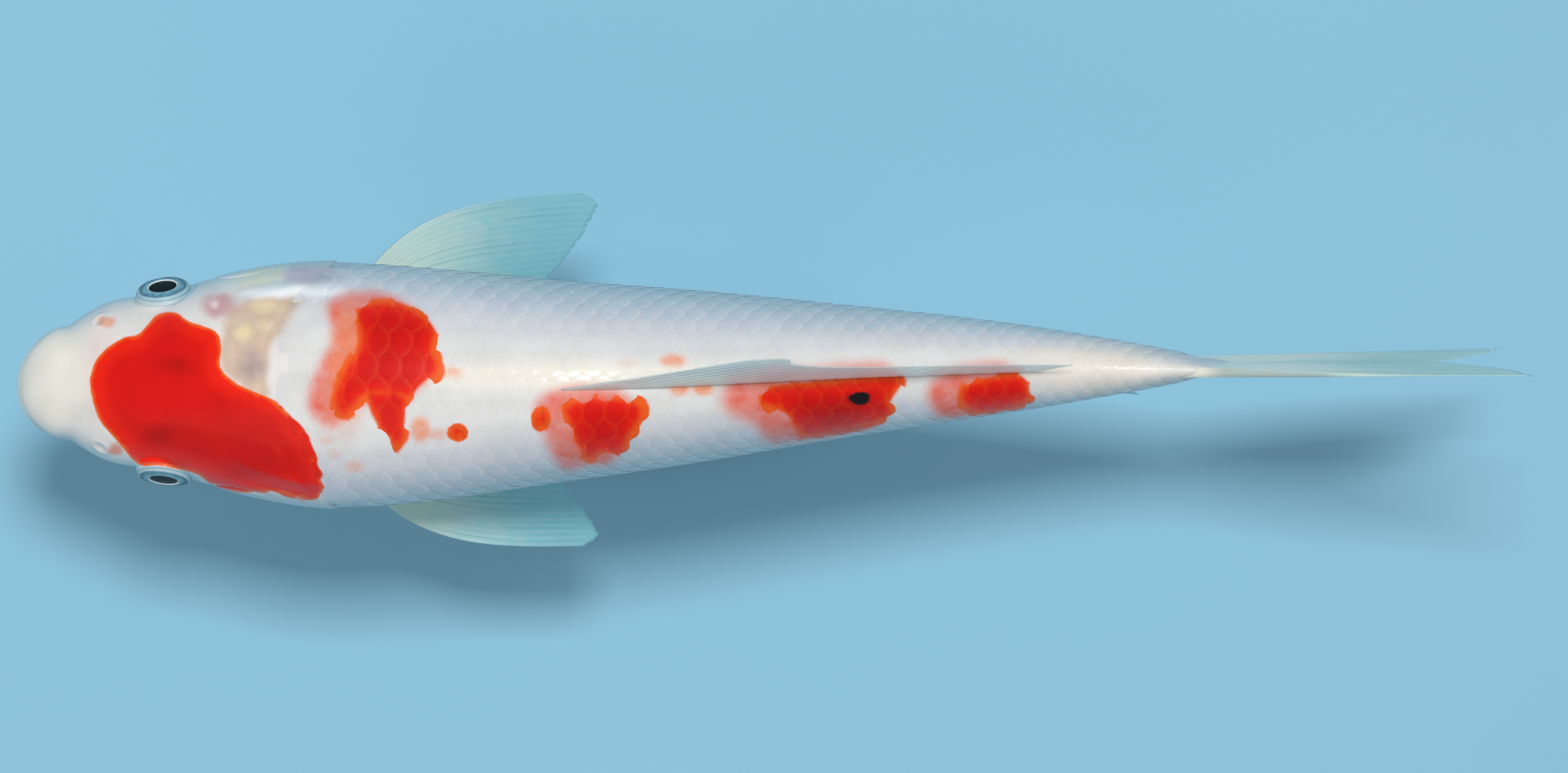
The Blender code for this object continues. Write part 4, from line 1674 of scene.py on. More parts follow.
@dataclass(frozen=True)
class ScaleCoat:
    """Overlapping mesh scales in staggered rows, counted from the middle of the back."""

    skin: Skin
    first: float = 0.160  # along
    row_pitch: Pair = (0.0232, 0.0150)  # at the shoulder and at the tail stalk
    pitch: Pair = (0.0208, 0.0162)
    rows: int = 41
    columns: int = 49
    slope: float = 0.027
    thickness: float = 0.05 * MM
    sunk: float = 0.16 * MM
    front: float = -1.15
    rear: float = 0.62
    half_width: float = 0.72
    around: int = 18
    overlap: float = 0.45  # how far the guide runs on past the belly, in radians
    guide_start: float = 0.12
    guide_rings: int = 240
    guide_turns: int = 233
    bare_gap: float = 2.4 * MM  # bare skin behind the head
    last: float = 1.020  # along
    shoulder: float = 0.30  # along, where the rows are widest
    taper: float = 0.65  # shares of the length over which they narrow
    dome: tuple[Pair, ...] = ((1.0, 0.0), (0.93, 0.62), (0.60, 0.92), (0.28, 1.0))  # share out, share of rise
    bake_patch: float = 0.003
    seed: int = 11
    side_line: SmoothCurve = SmoothCurve(((0.28, 0.030), (0.45, 0.006), (0.70, -0.004), (1.04, 0.001)))

    def guide(self) -> Mesh:
        """The skin as an open sheet, with its flat map in shares of the body's length.

        Returns:
            The sheet.
        """
        along, around = np.meshgrid(
            np.linspace(self.guide_start, self.skin.form.end - 0.004, self.guide_rings),
            np.linspace(-math.pi - self.overlap, math.pi + self.overlap, self.guide_turns), indexing="ij",
        )
        points, outward = self.skin.surface(along, around)
        length = self.skin.form.length
        crosswise = np.linalg.norm(np.diff(points, axis=1), axis=-1)
        arc = np.concatenate((np.zeros((len(points), 1)), np.cumsum(crosswise, axis=1)), 1) / length
        arc -= arc[:, [arc.shape[1] // 2]]
        beyond = self.skin.behind_head(points)
        keep = (beyond > self.bare_gap) & (np.abs(around) <= math.pi) & (along < self.last)
        mesh = new_mesh("scale_guide", points, grid_faces(*along.shape))
        write_vectors(mesh, "flat", np.stack((along, arc, np.zeros_like(arc)), -1))
        write_vectors(mesh, "outward", outward)
        write_values(mesh, "scaled", keep)
        return mesh

    def leaf(self) -> Mesh:
        """One scale, flat: a closed, slightly domed shield with a thin rim, in pitches and metres.

        Returns:
            The scale's mesh.
        """
        half = self.around // 2
        rear_turns = np.linspace(-math.pi / 2, math.pi / 2, half + 2)
        front_turns = np.linspace(math.pi / 2, 3 * math.pi / 2, self.around - half)[1:-1]
        turn = np.concatenate((rear_turns, front_turns))
        middle = -0.30
        x = np.where(
            np.cos(turn) > 0, middle + (self.rear - middle) * np.cos(turn),
            middle + (middle - self.front) * np.cos(turn),
        )
        y = self.half_width * np.sign(np.sin(turn)) * np.abs(np.sin(turn)) ** 0.9
        pitch = self.pitch[0] * self.skin.form.length
        points, leaf = [], []
        for share, rise in self.dome:
            px, py = middle + (x - middle) * share, y * share
            height = (px - self.front) * pitch * self.slope - self.sunk + rise * self.thickness
            points.append(np.stack((px, py, height), -1))
            leaf.append(np.stack((px, py, np.full_like(px, share)), -1))
        points = np.concatenate(points)
        top = (middle - self.front) * pitch * self.slope - self.sunk + self.thickness
        points = np.concatenate((points, [(middle, 0, top)]))
        leaf = np.concatenate((*leaf, [(middle, 0, 0)]))
        count = len(x)
        faces = [tuple(face) for face in grid_faces(4, count, True)]
        faces += [(3 * count + k, 3 * count + (k + 1) % count, 4 * count) for k in range(count)]
        faces.append(tuple(range(count - 1, -1, -1)))
        mesh = new_mesh("scale_leaf", points, faces)
        write_vectors(mesh, "leaf", leaf)
        turn_outwards(mesh)
        sharp = mesh.attributes.new("sharp_edge", "BOOLEAN", "EDGE")
        sharp.data.foreach_set("value", [max(edge.vertices) < count for edge in mesh.edges])
        return mesh

    def tree(self) -> GrowGraph:
        """Lays the scales out flat in staggered rows, then wraps them on the guide.

        Returns:
            The tree, ready to grow on the guide.
        """
        graph = GrowGraph("scale_rows")
        rows, columns, seed = (graph.input(name, "NodeSocketInt") for name in ("Rows", "Columns", "Seed"))
        sizes = ("First", "Pitch", "Pitch change", "Row pitch", "Row pitch change")
        first, pitch, pitch_change, row_pitch, row_change = (graph.input(n, "NodeSocketFloat") for n in sizes)
        leaf = graph.input("Leaf", "NodeSocketObject")
        finish = graph.input("Finish", "NodeSocketMaterial")

        index = graph.value("GeometryNodeInputIndex")
        column = graph.math("FLOOR", (index + 0.5) / rows)
        row = index - column * rows - (rows - 1) / 2
        count = column + (row % 2) * 0.5
        x = first + count * pitch + count * count * pitch_change
        wide = row_pitch + (x - self.shoulder) * row_change
        long = pitch + count * pitch_change * 2
        spots = {"Count": rows * columns, "Position": graph.vector(x, row * wide, 0)}
        points = graph.value("GeometryNodePoints", None, spots)
        for name, stored in (("long", long), ("wide", wide), ("lean", row * row_change)):
            points = graph.store(points, name, stored)
        points = graph.store(points, "tone", self.chance(graph, 0.0, 1.0, seed))
        points = graph.store(points, "root", graph.position(), "FLOAT_VECTOR")
        scaled = graph.sample(graph.geometry, graph.named("scaled"), graph.position(), "FLOAT")
        bare = {"Geometry": points, "Selection": graph.math("LESS_THAN", scaled, 0.5)}
        points = graph.value("GeometryNodeDeleteGeometry", {"domain": "POINT"}, bare)
        shape = graph.value("GeometryNodeObjectInfo", None, {"Object": leaf}, "Geometry")
        jitter = self.chance(graph, -0.03, 0.03, seed + 1)
        size = self.chance(graph, 0.96, 1.05, seed + 2)
        turn = graph.vector(0, 0, graph.named("lean") + jitter)
        scale = graph.vector(graph.named("long") * size, graph.named("wide") * size, 1)
        inputs = {"Points": points, "Instance": shape, "Rotation": turn, "Scale": scale}
        instances = graph.value("GeometryNodeInstanceOnPoints", None, inputs)
        real = graph.value("GeometryNodeRealizeInstances", None, {0: instances})
        place = graph.sample(graph.geometry, graph.position(), graph.position())
        away = graph.sample(graph.geometry, graph.named("outward", "FLOAT_VECTOR"), graph.position())
        height = graph.parts(graph.position())[2]
        lifted = graph.value("ShaderNodeVectorMath", {"operation": "SCALE"}, {0: away, "Scale": height})
        target = graph.value("ShaderNodeVectorMath", {"operation": "ADD"}, {0: place, 1: lifted})
        wrapped = graph.value("GeometryNodeSetPosition", None, {"Geometry": real, "Position": target})
        graph.finish(wrapped, finish)
        return graph

    @staticmethod
    def chance(graph: GrowGraph, low: float, high: float, seed: Any) -> Value:
        """A random number for each point."""
        inputs = {2: low, 3: high, "Seed": seed}
        return graph.value("FunctionNodeRandomValue", {"data_type": "FLOAT"}, inputs, 1)

    def build(self, markings: Markings, finish: Material) -> bpy.types.Object:
        """The coat as one joined piece with the skin's markings.

        Args:
            markings: the fish's markings.
            finish: the scales' material.

        Returns:
            The piece.
        """
        pattern = bpy.data.objects.new("scale_pattern", self.leaf())
        bpy.context.scene.collection.objects.link(pattern)
        inputs = {
            "Rows": self.rows, "Columns": self.columns, "First": self.first, "Pitch": self.pitch[0],
            "Pitch change": (self.pitch[1] - self.pitch[0]) / 2 / self.columns,
            "Row pitch": self.row_pitch[0],
            "Row pitch change": (self.row_pitch[1] - self.row_pitch[0]) / self.taper, "Leaf": pattern,
            "Finish": finish, "Seed": self.seed,
        }
        each = len(pattern.data.vertices)
        mesh = self.tree().grow(self.guide(), "koi_scales", inputs)
        bpy.data.objects.remove(pattern)
        points = vertex_places(mesh).reshape(-1, each, 3)
        middles = np.repeat(lerp(points[:, -1], points[:, self.around // 4 + 1], 0.5), each, 0)
        upward = np.repeat(vertex_normals(mesh).reshape(-1, each, 3)[:, -1, 2], each)
        roots, leaf = (read(mesh.attributes[name].data, "vector") for name in ("root", "leaf"))
        self.write_unwrap(mesh, roots, leaf)
        markings.write(mesh, upward, middles)
        along, _, up = self.skin.form.shares(vertex_places(mesh))
        write_values(mesh, "side_line", (up - self.side_line.at(along)) * self.skin.form.length / MM)
        LOG.info("koi_scales: %d scales", len(points))
        return add_piece("koi_scales", mesh, finish)

    def write_unwrap(self, mesh: Mesh, roots: Array, leaf: Array) -> None:
        """Gives each scale a small patch at its root's place on the skin laid flat.

        Args:
            mesh: the mesh.
            roots: the flat place of each vertex's scale.
            leaf: each vertex's place in its scale.
        """
        place = np.stack((0.02 + roots[:, 0] * 0.92, 0.5 + roots[:, 1] * 1.05), -1)
        spread = np.stack((leaf[:, 0] / (self.rear - self.front), leaf[:, 1] / (2 * self.half_width)), -1)
        write_map(mesh, (place + spread * self.bake_patch)[corner_vertices(mesh)])


# ---- fins ----


@dataclass(frozen=True)
class Fin:
    """A rayed fin: a thin skin on the solids' own sheet, with branching rays a little proud of it."""

    name: str
    nodes: tuple[str, ...]
    shape: Callable[[Array, Array], Array]
    rays: int
    across: int = 96
    outward: int = 44
    root_thickness: float = 0.62 * MM
    edge_thickness: float = 0.20 * MM
    ray_radius: float = 0.13 * MM
    guide_steps: tuple[int, int] = (120, 60)
    ragged: float = 0.020
    rounding: float = 0.0
    start: float = 0.0

    def sheet(self, u: Array, v: Array) -> Array:
        """The middle of the fin, with its free edge drawn in a little between the rays.

        Args:
            u: shares along the base.
            v: shares out along the rays.

        Returns:
            Places in metres.
        """
        lane = np.abs(np.sin(math.pi * self.rays * u))
        long_waves = np.sin(u * 23.0 + 1.0) * 0.5 + np.sin(u * 41.0) * 0.5
        short = self.ragged * (0.45 * lane + 0.55 * (long_waves * 0.5 + 0.5))
        short = short + self.rounding * np.clip(1 - u / 0.16, 0, 1) ** 2
        return self.shape(u, v * (1 - short))

    def sides(self, u: Array, v: Array) -> tuple[Array, Array]:
        """The fin's middle and the direction across its thickness.

        Args:
            u: shares along the base.
            v: shares out along the rays.

        Returns:
            Points in metres and directions of length 1.
        """
        small = 1e-3
        a = self.sheet(np.clip(u + small, 0, 1), v) - self.sheet(np.clip(u - small, 0, 1), v)
        b = self.sheet(u, np.clip(v + small, 0, 1)) - self.sheet(u, np.clip(v - small, 0, 1))
        return self.sheet(u, v), unit(np.cross(a, b))

    def membrane(self) -> Mesh:
        """The fin's skin as a closed, thin sheet.

        Returns:
            The mesh, with its shares stored as "fan".
        """
        u, v = self.grid(self.across, self.outward)
        middle, across = self.sides(u, v)
        thick = lerp(self.root_thickness, self.edge_thickness, ease(v / 0.85) ** 0.5) / 2
        folds = 0.02 * MM * np.cos(2 * math.pi * self.rays * u) * ease(v / 0.3)
        front = middle + across * (thick + folds)[..., None]
        mesh = closed_sheet(self.name, front, middle - across * (thick - folds)[..., None])
        fan = np.stack((u, v, np.minimum(u, 1 - u)), -1)
        write_vectors(mesh, "fan", np.concatenate((fan, fan)))
        return mesh

    def grid(self, across: int, outward: int) -> tuple[Array, Array]:
        """Shares along the base and out along the rays, in rows, for so many steps each way."""
        shares = np.linspace(0, 1, across + 1), np.linspace(self.start, 1, outward + 1)
        return tuple(np.meshgrid(*shares, indexing="ij"))

    def guide(self) -> Mesh:
        """The fin's middle as an open sheet with its flat map.

        Returns:
            The sheet.
        """
        u, v = self.grid(*self.guide_steps)
        mesh = new_mesh(self.name + "_guide", self.sheet(u, v), grid_faces(*u.shape))
        write_vectors(mesh, "flat", np.stack((u, v, np.zeros_like(u)), -1))
        return mesh

    def build(self, finish: Material, ray_finish: Material) -> None:
        """Adds the fin's skin and its rays.

        Args:
            finish: the skin's material.
            ray_finish: the rays' material.
        """
        add_piece(self.name, self.membrane(), finish, self.nodes)
        inputs = {"Rays": self.rays, "Ray radius": self.ray_radius, "Finish": ray_finish}
        inputs["Start"] = self.start + 0.01
        mesh = ray_tree().grow(self.guide(), self.name + "_rays", inputs)
        mesh.shade_smooth()
        add_piece(self.name + "_rays", mesh, ray_finish)


RAY_POINTS = 26  # along each ray
RAY_SIDES = 6
TWIGS = 4  # that each ray ends in


def ray_tree() -> GrowGraph:
    """Lays branching rays on a fin's guide: each splits in two, and each half splits again.

    Returns:
        The tree, ready to grow on a fin's guide.
    """
    graph = GrowGraph("fin_rays")
    rays = graph.input("Rays", "NodeSocketInt")
    radius = graph.input("Ray radius", "NodeSocketFloat")
    start = graph.input("Start", "NodeSocketFloat")
    finish = graph.input("Finish", "NodeSocketMaterial")
    line = graph.value("GeometryNodeCurvePrimitiveLine", None, {"Start": (0, 0, 0), "End": (0, 1, 0)})
    line = graph.value("GeometryNodeResampleCurve", None, {"Curve": line, "Count": RAY_POINTS})
    index = graph.value("GeometryNodeInputIndex")
    spots = {"Count": rays * TWIGS, "Position": graph.vector(index, 0, 0)}
    cloud = graph.value("GeometryNodePoints", None, spots)
    lines = graph.value("GeometryNodeInstanceOnPoints", None, {"Points": cloud, "Instance": line})
    lines = graph.value("GeometryNodeRealizeInstances", None, {0: lines})
    x, y, _ = graph.parts(graph.position())
    number = graph.math("ROUND", x)
    ray = graph.math("FLOOR", (number + 0.5) / TWIGS)
    twig = number - ray * TWIGS
    first = graph.math("GREATER_THAN", twig, 1.5) * 2 - 1
    second = (twig % 2) * 2 - 1
    v = start + y * (0.985 - start)
    spread = first * v.step(0.34, 0.95) * 0.21 + second * v.step(0.60, 1.05) * 0.10
    u = (ray + 0.5 + spread) / rays
    place = graph.sample(graph.geometry, graph.position(), graph.vector(u, v, 0))
    lines = graph.store(lines, "girth", radius * (1.15 - v * 0.75))
    lines = graph.value("GeometryNodeSetPosition", None, {"Geometry": lines, "Position": place})
    ring = {"Resolution": RAY_SIDES, "Radius": 1.0}
    circle = graph.value("GeometryNodeCurvePrimitiveCircle", {"mode": "RADIUS"}, ring)
    inputs = {"Curve": lines, "Profile Curve": circle, "Scale": graph.named("girth"), "Fill Caps": True}
    tubes = graph.value("GeometryNodeCurveToMesh", None, inputs)
    graph.finish(tubes, finish)
    return graph


@dataclass(frozen=True)
class KeelFinShape:
    """The dorsal or anal fin's sheet, as in the solids."""

    form: BodyForm
    base: Pair
    lengths: SmoothCurve
    sweep: float
    lean: float
    upward: int
    root_depth: float = 0.014

    def __call__(self, u: Array, v: Array) -> Array:
        """Points of the sheet; u runs along the base and v out along the rays.

        Args:
            u: shares along the base.
            v: shares out along the rays.

        Returns:
            Places in metres.
        """
        root = lerp(*self.base, u)
        edge = self.form.back.at(root) if self.upward > 0 else self.form.belly.at(root)
        length = self.lengths.at(u)
        height = lerp(-self.root_depth, length * math.cos(self.sweep), v)
        side = math.tan(self.lean) * np.maximum(height, 0)
        return self.form.place(root + length * math.sin(self.sweep) * v, side, self.upward * (edge + height))


@dataclass(frozen=True)
class TailFinShape:
    """The forked tail fin's sheet, as in the solids."""

    form: BodyForm
    root_along: float = 1.018
    root_up: Pair = (0.055, -0.050)
    fork: Pair = (1.178, 0.004)
    reach: float = 0.150
    lobe_up: Pair = (0.152, -0.140)
    bulge: float = 0.019
    twist: float = math.radians(1.8)
    drift: float = 0.016
    cup: float = 0.0062  # the inner rays of each lobe stand across the fork

    def __call__(self, u: Array, v: Array) -> Array:
        """Points of the sheet; u is 0 at the upper edge and 1 at the lower.

        Args:
            u: shares along the base.
            v: shares out along the rays.

        Returns:
            Places in metres.
        """
        outward = np.abs(1 - 2 * u)
        upper = u < 0.5
        tip_up = self.fork[1] + (np.where(upper, *self.lobe_up) - self.fork[1]) * outward**0.95
        rounding = 0.012 * ease((outward - 0.86) / 0.14)
        tip_along = self.fork[0] + self.reach * outward**1.1 - rounding
        spread = self.bulge * outward * np.sin(math.pi * v) * np.where(upper, 1, -1)
        up = lerp(lerp(*self.root_up, u), tip_up, v) + spread
        along = lerp(self.root_along, tip_along, v)
        side = self.drift * (along - self.root_along) - math.tan(self.twist) * up
        side = side + self.cup * np.sin(math.pi * outward**0.8) * ease(v / 0.6) * np.where(upper, 1, -1)
        return self.form.place(along, side, up)


@dataclass(frozen=True)
class PairedFinShape:
    """A pectoral or pelvic fin's sheet, as in the solids."""

    form: BodyForm
    side: Side
    root: tuple[Place, Place]
    tip: Place
    shortening: float
    narrowing: float
    drop: float
    bulge: float
    spread: float = 1.0
    early: float = 1.0  # below 1 the leading ray bows out nearer the body

    def __call__(self, u: Array, v: Array) -> Array:
        """Points of the sheet; u is 0 at the leading ray and v runs out from the body.

        Args:
            u: shares along the base.
            v: shares out along the rays.

        Returns:
            Places in metres.
        """
        start = [lerp(a, b, u) for a, b in zip(*self.root)]
        along, aside, up = self.tip
        end = (along - self.shortening * u**1.5, aside - self.narrowing * u, up - self.drop * u)
        out = lerp(start[1], end[1], v) + self.bulge * (1 - u) * np.sin(math.pi * v**self.early)
        out = start[1] + (out - start[1]) * self.spread
        across = self.side.value * out
        return self.form.place(lerp(start[0], end[0], v), across, lerp(start[2], end[2], v))


@dataclass(frozen=True)
class FinSet:
    """All the fish's fins."""

    form: BodyForm
    pectoral_spread: dict[Side, float] = field(default_factory=lambda: {Side.RIGHT: 1.00, Side.LEFT: 0.90})
    dorsal_lengths: tuple[Pair, ...] = (
        (0.00, 0.205), (0.06, 0.211), (0.22, 0.150), (0.45, 0.100), (0.80, 0.074), (1.00, 0.054),
    )
    anal_lengths: tuple[Pair, ...] = ((0.00, 0.205), (0.15, 0.218), (0.55, 0.150), (1.00, 0.085))

    def fins(self) -> list[tuple[Fin, FinFinish]]:
        """Each fin with the finish of its skin, from the back round to the belly."""
        return [self.dorsal(), self.anal(), self.tail(), *(fin for side in Side for fin in self.paired(side))]

    def dorsal(self) -> tuple[Fin, FinFinish]:
        """The folded fin of the back, which leans to the right.

        Returns:
            The fin and its finish.
        """
        shape = KeelFinShape(
            self.form, base=(0.450, 0.872), lengths=SmoothCurve(self.dorsal_lengths),
            sweep=math.radians(71), lean=math.radians(19), upward=1,
        )
        finish = FinFinish(
            "fin_dorsal", rays=20, root=paint(250, 252, 242), tip=paint(226, 248, 238),
            root_alpha=0.66, tip_alpha=0.46, stained=True,
        )
        return Fin("dorsal_fin_skin", ("dorsal_fin",), shape, finish.rays), finish

    def anal(self) -> tuple[Fin, FinFinish]:
        """The fin under the tail stalk, whose tip shows on the right.

        Returns:
            The fin and its finish.
        """
        shape = KeelFinShape(
            self.form, base=(0.782, 0.862), lengths=SmoothCurve(self.anal_lengths),
            sweep=math.radians(67), lean=math.radians(-21), upward=-1,
        )
        return Fin("anal_fin_skin", ("anal_fin",), shape, 8), FinFinish("fin_anal", 8)

    def tail(self) -> tuple[Fin, FinFinish]:
        """The forked tail fin, one skin over both lobes.

        Returns:
            The fin and its finish.
        """
        finish = FinFinish(
            "fin_tail", rays=22, root=paint(244, 240, 222), tip=paint(186, 228, 218),
            root_alpha=1.0, tip_alpha=0.58,
        )
        lobes = ("tail_fin_upper", "tail_fin_lower")
        shape = TailFinShape(self.form)
        return Fin("tail_fin_skin", lobes, shape, finish.rays, across=144, root_thickness=2.4 * MM), finish

    def paired(self, side: Side) -> list[tuple[Fin, FinFinish]]:
        """One side's breast fin and belly fin.

        Args:
            side: which side of the fish.

        Returns:
            The two fins with their finishes.
        """
        pectoral = PairedFinShape(
            self.form, side, root=((0.292, 0.070, -0.070), (0.318, 0.064, -0.086)),
            tip=(0.512, 0.163, -0.098), shortening=0.061, narrowing=0.088, drop=0.030, bulge=0.044,
            spread=self.pectoral_spread[side], early=0.62,
        )
        pelvic = PairedFinShape(
            self.form, side, root=((0.470, 0.030, -0.112), (0.492, 0.016, -0.118)),
            tip=(0.622, 0.066, -0.152), shortening=0.030, narrowing=0.046, drop=0.014, bulge=0.020,
        )
        breast = FinFinish(
            f"fin_pectoral_{side.word}", rays=15, root=paint(206, 226, 212), tip=paint(134, 202, 208),
            root_alpha=0.90, tip_alpha=0.52,
        )
        belly = FinFinish(f"fin_pelvic_{side.word}", rays=9)
        name, node = f"pectoral_fin_skin_{side.word}", f"pectoral_fin_{side.word}"
        front = Fin(name, (node,), pectoral, breast.rays, rounding=0.07)
        name, node = f"pelvic_fin_skin_{side.word}", f"pelvic_fin_{side.word}"
        return [(front, breast), (Fin(name, (node,), pelvic, belly.rays, across=64), belly)]

    def build(self) -> None:
        """Adds every fin."""
        ray_finish = RayFinish().make()
        for fin, finish in self.fins():
            fin.build(finish.make(), ray_finish)


@dataclass(frozen=True)
class RayFinish:
    """Bony fin rays, milky and jointed."""

    colour: Colour = paint(206, 230, 230)
    shade: Colour = paint(176, 216, 222)

    def make(self) -> Material:
        """The material.

        Returns:
            The finished material.
        """
        graph = Finish("fin_ray", IOR=1.40, Coat_Weight=0.3, Coat_Roughness=0.15)
        colour = graph.mix(self.colour, self.shade, graph.noise(0.006, 2))
        graph.set(Base_Color=colour, Roughness=0.35, Alpha=graph.noise(0.005, 2) * 0.3 + 0.08)
        graph.set(Normal=graph.bump(graph.noise(0.0005, 2), 0.00004))
        return graph.material


# ---- head details ----


@dataclass(frozen=True)
class Eye:
    """One eye: the iris bowl with its pupil, under a clear dome."""

    size: EyeSize
    form: BodyForm
    side: Side
    pupil: float = 3.05 * MM
    pupil_share: float = 0.6  # of the iris finish's way out from the axis
    iris_depth: float = 0.60  # share of the radius at which the iris lies
    bulge: float = 0.65 * MM  # how far the clear dome stands above the eyeball
    pupil_dome: float = 0.10 * MM  # how far the pupil's middle stands above its edge
    dome_reach: float = math.radians(66)
    dome_steps: int = 20
    dome_wall: float = 0.965  # size of the dome's inside for its outside

    def iris_profile(self) -> list[Pair]:
        """The iris bowl from the middle of its front to the middle of its back.

        Returns:
            (distance from the eye's axis, height along it) points.
        """
        radius, flat, pupil = self.size.radius, self.size.radius * self.iris_depth, self.pupil
        rim = math.sqrt(radius**2 - flat**2) * 0.97
        profile = [(0.0, flat + self.pupil_dome)]
        for share in (0.15, 0.35, 0.55, 0.80, 0.95):
            profile.append((pupil * share, flat + self.pupil_dome * (1 - share**2)))
        profile += [(pupil, flat - 0.02 * MM), (pupil * 1.03, flat + 0.12 * MM)]
        profile += [(pupil * 1.10, flat + 0.12 * MM), (lerp(pupil, rim, 0.5), flat + 0.02 * MM)]
        profile += [(rim, flat - 0.1 * MM), (rim, flat - 0.5 * MM), (rim * 0.5, flat - 1.4 * MM)]
        return [*profile, (0.0, flat - 1.5 * MM)]

    def dome_profile(self) -> list[Pair]:
        """The clear dome's outside from its middle to its rim, and its inside back again.

        Returns:
            (distance from the eye's axis, height along it) points.
        """
        outer = []
        for k in range(self.dome_steps + 1):
            share = k / self.dome_steps
            angle, far = self.dome_reach * share, self.size.radius + self.bulge * (1 - share**2) ** 2
            outer.append((far * math.sin(angle), far * math.cos(angle)))
        return outer + [(r * self.dome_wall, h * self.dome_wall) for r, h in reversed(outer)]

    def build(self, iris: Material, cornea: Material) -> None:
        """Adds both pieces.

        Args:
            iris: the finish of the bowl and its pupil.
            cornea: the finish of the clear dome.
        """
        centre, axis = self.size.centre(self.form, self.side), self.size.axis(self.side)
        bowl = turned_shape(f"eye_iris_{self.side.word}", self.iris_profile(), centre, axis)
        points = vertex_places(bowl)
        away = distance_from_axis(points, centre, axis)
        write_values(bowl, "from_axis", away / self.pupil * self.pupil_share)
        write_values(bowl, "lower", (centre[2] - points[:, 2]) / self.pupil)
        add_piece(bowl.name, bowl, iris, (f"eye_{self.side.word}",))
        dome = turned_shape(f"eye_cornea_{self.side.word}", self.dome_profile(), centre, axis, 72)
        away = distance_from_axis(vertex_places(dome), centre, axis)
        write_values(dome, "from_axis", away / self.size.radius)
        add_piece(dome.name, dome, cornea)


def mark_loose(mesh: Mesh, markings: Markings, upward: float) -> None:
    """Gives a small loose piece of the head the skin's markings, without the bluish socket and the painted
    shade of the lid folds.
    """
    markings.write(mesh, np.full(len(mesh.vertices), upward))
    write_values(mesh, "eye_angle", np.full(len(mesh.vertices), FAR_FROM_EYES))


@dataclass(frozen=True)
class NostrilFlap:
    """The little curved flap of skin that stands up behind a nostril."""

    skin: Skin
    side: Side
    width: float = 2.4 * MM
    height: float = 1.3 * MM
    thickness: float = 0.30 * MM
    bow: float = 0.55 * MM
    curl: float = 0.5 * MM
    sunk: float = 0.3 * MM

    def build(self, markings: Markings, finish: Material) -> None:
        """Adds the flap.

        Args:
            markings: the fish's markings.
            finish: the skin's material.
        """
        along, out, high = self.skin.nostril
        form = self.skin.form
        middle = form.place(along + 0.003, self.side.value * out, high + form.snout_droop)
        outward = unit(middle - form.place(along, 0, 0.0))
        back = unit(np.array((1.0, 0, 0)) - outward * outward[0])
        across = np.cross(outward, back)
        s, t = np.meshgrid(np.linspace(-1, 1, 13), np.linspace(0, 1, 8), indexing="ij")
        rise = self.height * t * np.sqrt(np.clip(1 - s**2 * 0.85, 0, 1))
        bow = self.bow * (1 - s**2) + self.curl * t**2
        half = self.thickness / 2 * (1 - 0.6 * t)
        spread = across * (s * self.width / 2 * (1 - 0.25 * t))[..., None]
        shape = middle + spread + outward * (rise - self.sunk)[..., None]
        front = shape + back * (bow + half)[..., None]
        mesh = closed_sheet(f"nostril_flap_{self.side.word}", front, shape + back * (bow - half)[..., None])
        mark_loose(mesh, markings, 1.0)
        add_piece(mesh.name, mesh, finish)


@dataclass(frozen=True)
class Feeler:
    """A soft, tapering barbel at the mouth."""

    form: BodyForm
    name: str
    side: Side
    root: Place
    tip: Place
    thickness: float
    sag: float = 0.8 * MM
    steps: int = 24
    around: int = 16

    def build(self, markings: Markings, finish: Material) -> None:
        """Adds the feeler.

        Args:
            markings: the fish's markings.
            finish: the skin's material.
        """
        start = self.form.place(self.root[0], self.side.value * self.root[1], self.root[2])
        end = self.form.place(self.tip[0], self.side.value * self.tip[1], self.tip[2])
        t = np.linspace(0, 1, self.steps)
        path = start + (end - start) * t[:, None]
        path[:, 2] -= self.sag * np.sin(math.pi * t)
        ahead = unit(np.gradient(path, axis=0))
        aside = unit(np.cross(ahead, (0, 0, 1)))
        above = np.cross(aside, ahead)
        tip = np.sqrt(np.clip(1 - ((t - 0.90) / 0.10).clip(0, 1) ** 2, 0.02, 1))
        radius = self.thickness / 2 * (1.25 - 0.55 * t) * tip * (1 + 0.05 * np.sin(t * 40))
        turn = np.arange(self.around) / self.around * 2 * math.pi
        spokes = np.cos(turn)[None, :, None] * aside[:, None] + np.sin(turn)[None, :, None] * above[:, None]
        points = (path[:, None] + spokes * radius[:, None, None]).reshape(-1, 3)
        points = np.concatenate((points, [path[0], path[-1] + ahead[-1] * 0.05 * MM]))
        faces = tube_faces(self.steps, self.around)
        mesh = new_mesh(f"feeler_{self.name}_{self.side.word}", points, faces)
        turn_outwards(mesh)
        mark_loose(mesh, markings, 0.4)
        add_piece(mesh.name, mesh, finish, (f"barbel_{self.name}_{self.side.word}",))


FEELERS = {
    ("mouth", Side.LEFT): ((0.055, 0.048, -0.030), (0.075, 0.072, -0.060), 1.1 * MM),
    ("mouth", Side.RIGHT): ((0.055, 0.048, -0.030), (0.076, 0.062, -0.062), 1.1 * MM),
    ("lip", Side.LEFT): ((0.030, 0.040, -0.012), (0.041, 0.049, -0.036), 0.9 * MM),
    ("lip", Side.RIGHT): ((0.030, 0.040, -0.012), (0.041, 0.046, -0.036), 0.9 * MM),
}


# ---- stand and studio ----


@dataclass(frozen=True)
class Stand:
    """The display stand, whose solids stay as they are and get their finishes."""

    def dress(self) -> None:
        """Gives the plate and the rods their materials."""
        board, steel = BoardFinish().make(), SteelFinish().make()
        for name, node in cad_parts.items():
            if name.startswith("stand_"):
                node.material_slots[0].material = board if name == "stand_base" else steel
                LOG.info("%s: dressed", name)


@dataclass(frozen=True)
class Lamp:
    """A soft square light."""

    name: str
    place: Place
    size: float
    power: float


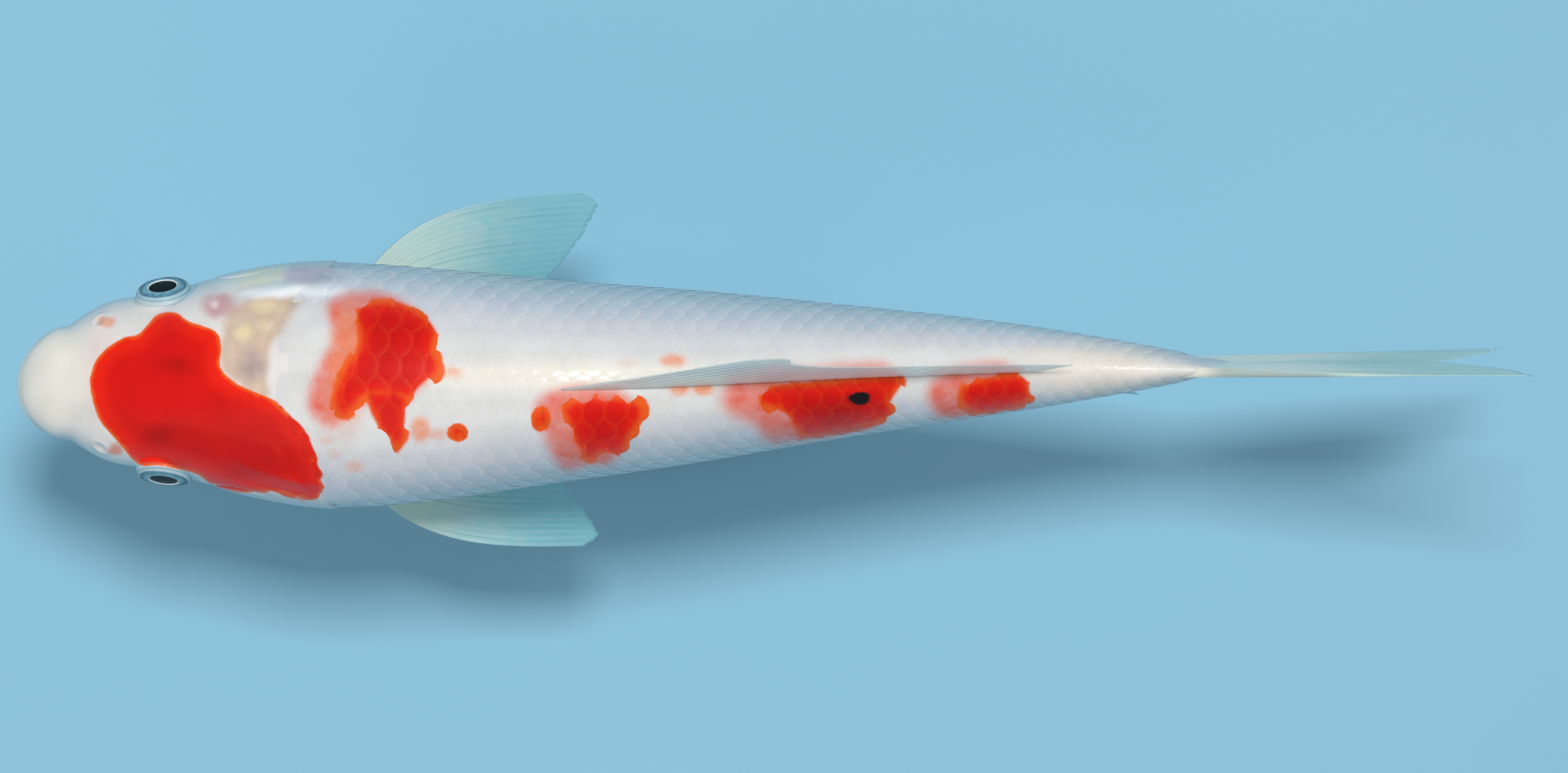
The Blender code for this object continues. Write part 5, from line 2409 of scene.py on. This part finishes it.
@dataclass(frozen=True)
class Studio:
    """A plain pale floor, soft light and a camera straight above the fish."""

    form: BodyForm
    camera_rise: float = 1.4  # above the fish's axis
    view_width: float = 0.3348  # how much of the fish's level the camera sees
    centre: Pair = (0.0577, -0.0018)
    sensor: float = 36.0
    floor_half: float = 4.0
    air: Colour = paint(226, 234, 240)
    air_strength: float = 0.42
    aim: Pair = (0.04, 0.0)
    lamps: tuple[Lamp, ...] = (
        Lamp("key_light", (0.08, 0.36, 1.74), 0.26, 18.5),
        Lamp("fill_light", (-0.60, -0.80, 1.00), 0.90, 1.8),
    )

    def build(self) -> None:
        """Adds the floor, the lights and the camera."""
        scene = bpy.context.scene
        half = self.floor_half
        corners = ((-half, -half, 0), (half, -half, 0), (half, half, 0), (-half, half, 0))
        mesh = new_mesh("floor", np.array(corners), [(0, 1, 2, 3)])
        mesh.materials.append(FloorFinish().make())
        floor = bpy.data.objects.new("floor", mesh)
        scene.collection.objects.link(floor)

        world = bpy.data.worlds.new("studio")
        world.use_nodes = True
        backdrop = world.node_tree.nodes["Background"]
        backdrop.inputs["Color"].default_value = (*self.air, 1)
        backdrop.inputs["Strength"].default_value = self.air_strength
        scene.world = world
        scene.view_settings.view_transform = "Standard"
        scene.view_settings.look = "None"

        for lamp in self.lamps:
            self.light(lamp)

        lens = bpy.data.cameras.new("camera")
        lens.sensor_width = self.sensor
        lens.lens = self.sensor * self.camera_rise / self.view_width
        lens.clip_start, lens.clip_end = 0.05, 30.0
        camera = bpy.data.objects.new("camera", lens)
        camera.location = (*self.centre, self.form.axis_height + self.camera_rise)
        scene.collection.objects.link(camera)
        scene.camera = camera
        LOG.info("studio: floor, two lights and the camera")

    def light(self, lamp: Lamp) -> None:
        """Adds a light that faces the fish.

        Args:
            lamp: its name, place, size and power.
        """
        glow = bpy.data.lights.new(lamp.name, "AREA")
        glow.shape = "SQUARE"
        glow.size = lamp.size
        glow.energy = lamp.power
        made = bpy.data.objects.new(lamp.name, glow)
        made.location = lamp.place
        target = np.array((*self.aim, self.form.axis_height)) - np.array(lamp.place)
        pitch = math.acos(-target[2] / np.linalg.norm(target))
        made.rotation_euler = (pitch, 0.0, math.atan2(-target[0], target[1]))
        bpy.context.scene.collection.objects.link(made)


# ---- the whole fish ----


def main() -> None:
    """Builds the whole object and its studio."""
    logging.basicConfig(level=logging.INFO, format="%(message)s")
    form = BodyForm()
    markings = Markings(form)
    eyes = EyeSize()
    skin = Skin(form, eyes)
    bare = SkinFinish("koi_bare_skin", scaled=False).make()
    skin.build(markings, bare)
    ScaleCoat(skin).build(markings, SkinFinish("koi_scaled_skin", scaled=True).make())
    FinSet(form).build()
    iris, cornea = IrisFinish().make(), CorneaFinish().make()
    for side in Side:
        Eye(eyes, form, side).build(iris, cornea)
        NostrilFlap(skin, side).build(markings, bare)
    for (name, side), (root, tip, thickness) in FEELERS.items():
        Feeler(form, name, side, root, tip, thickness).build(markings, bare)
    Stand().dress()
    Studio(form).build()


if __name__ == "__main__":
    main()
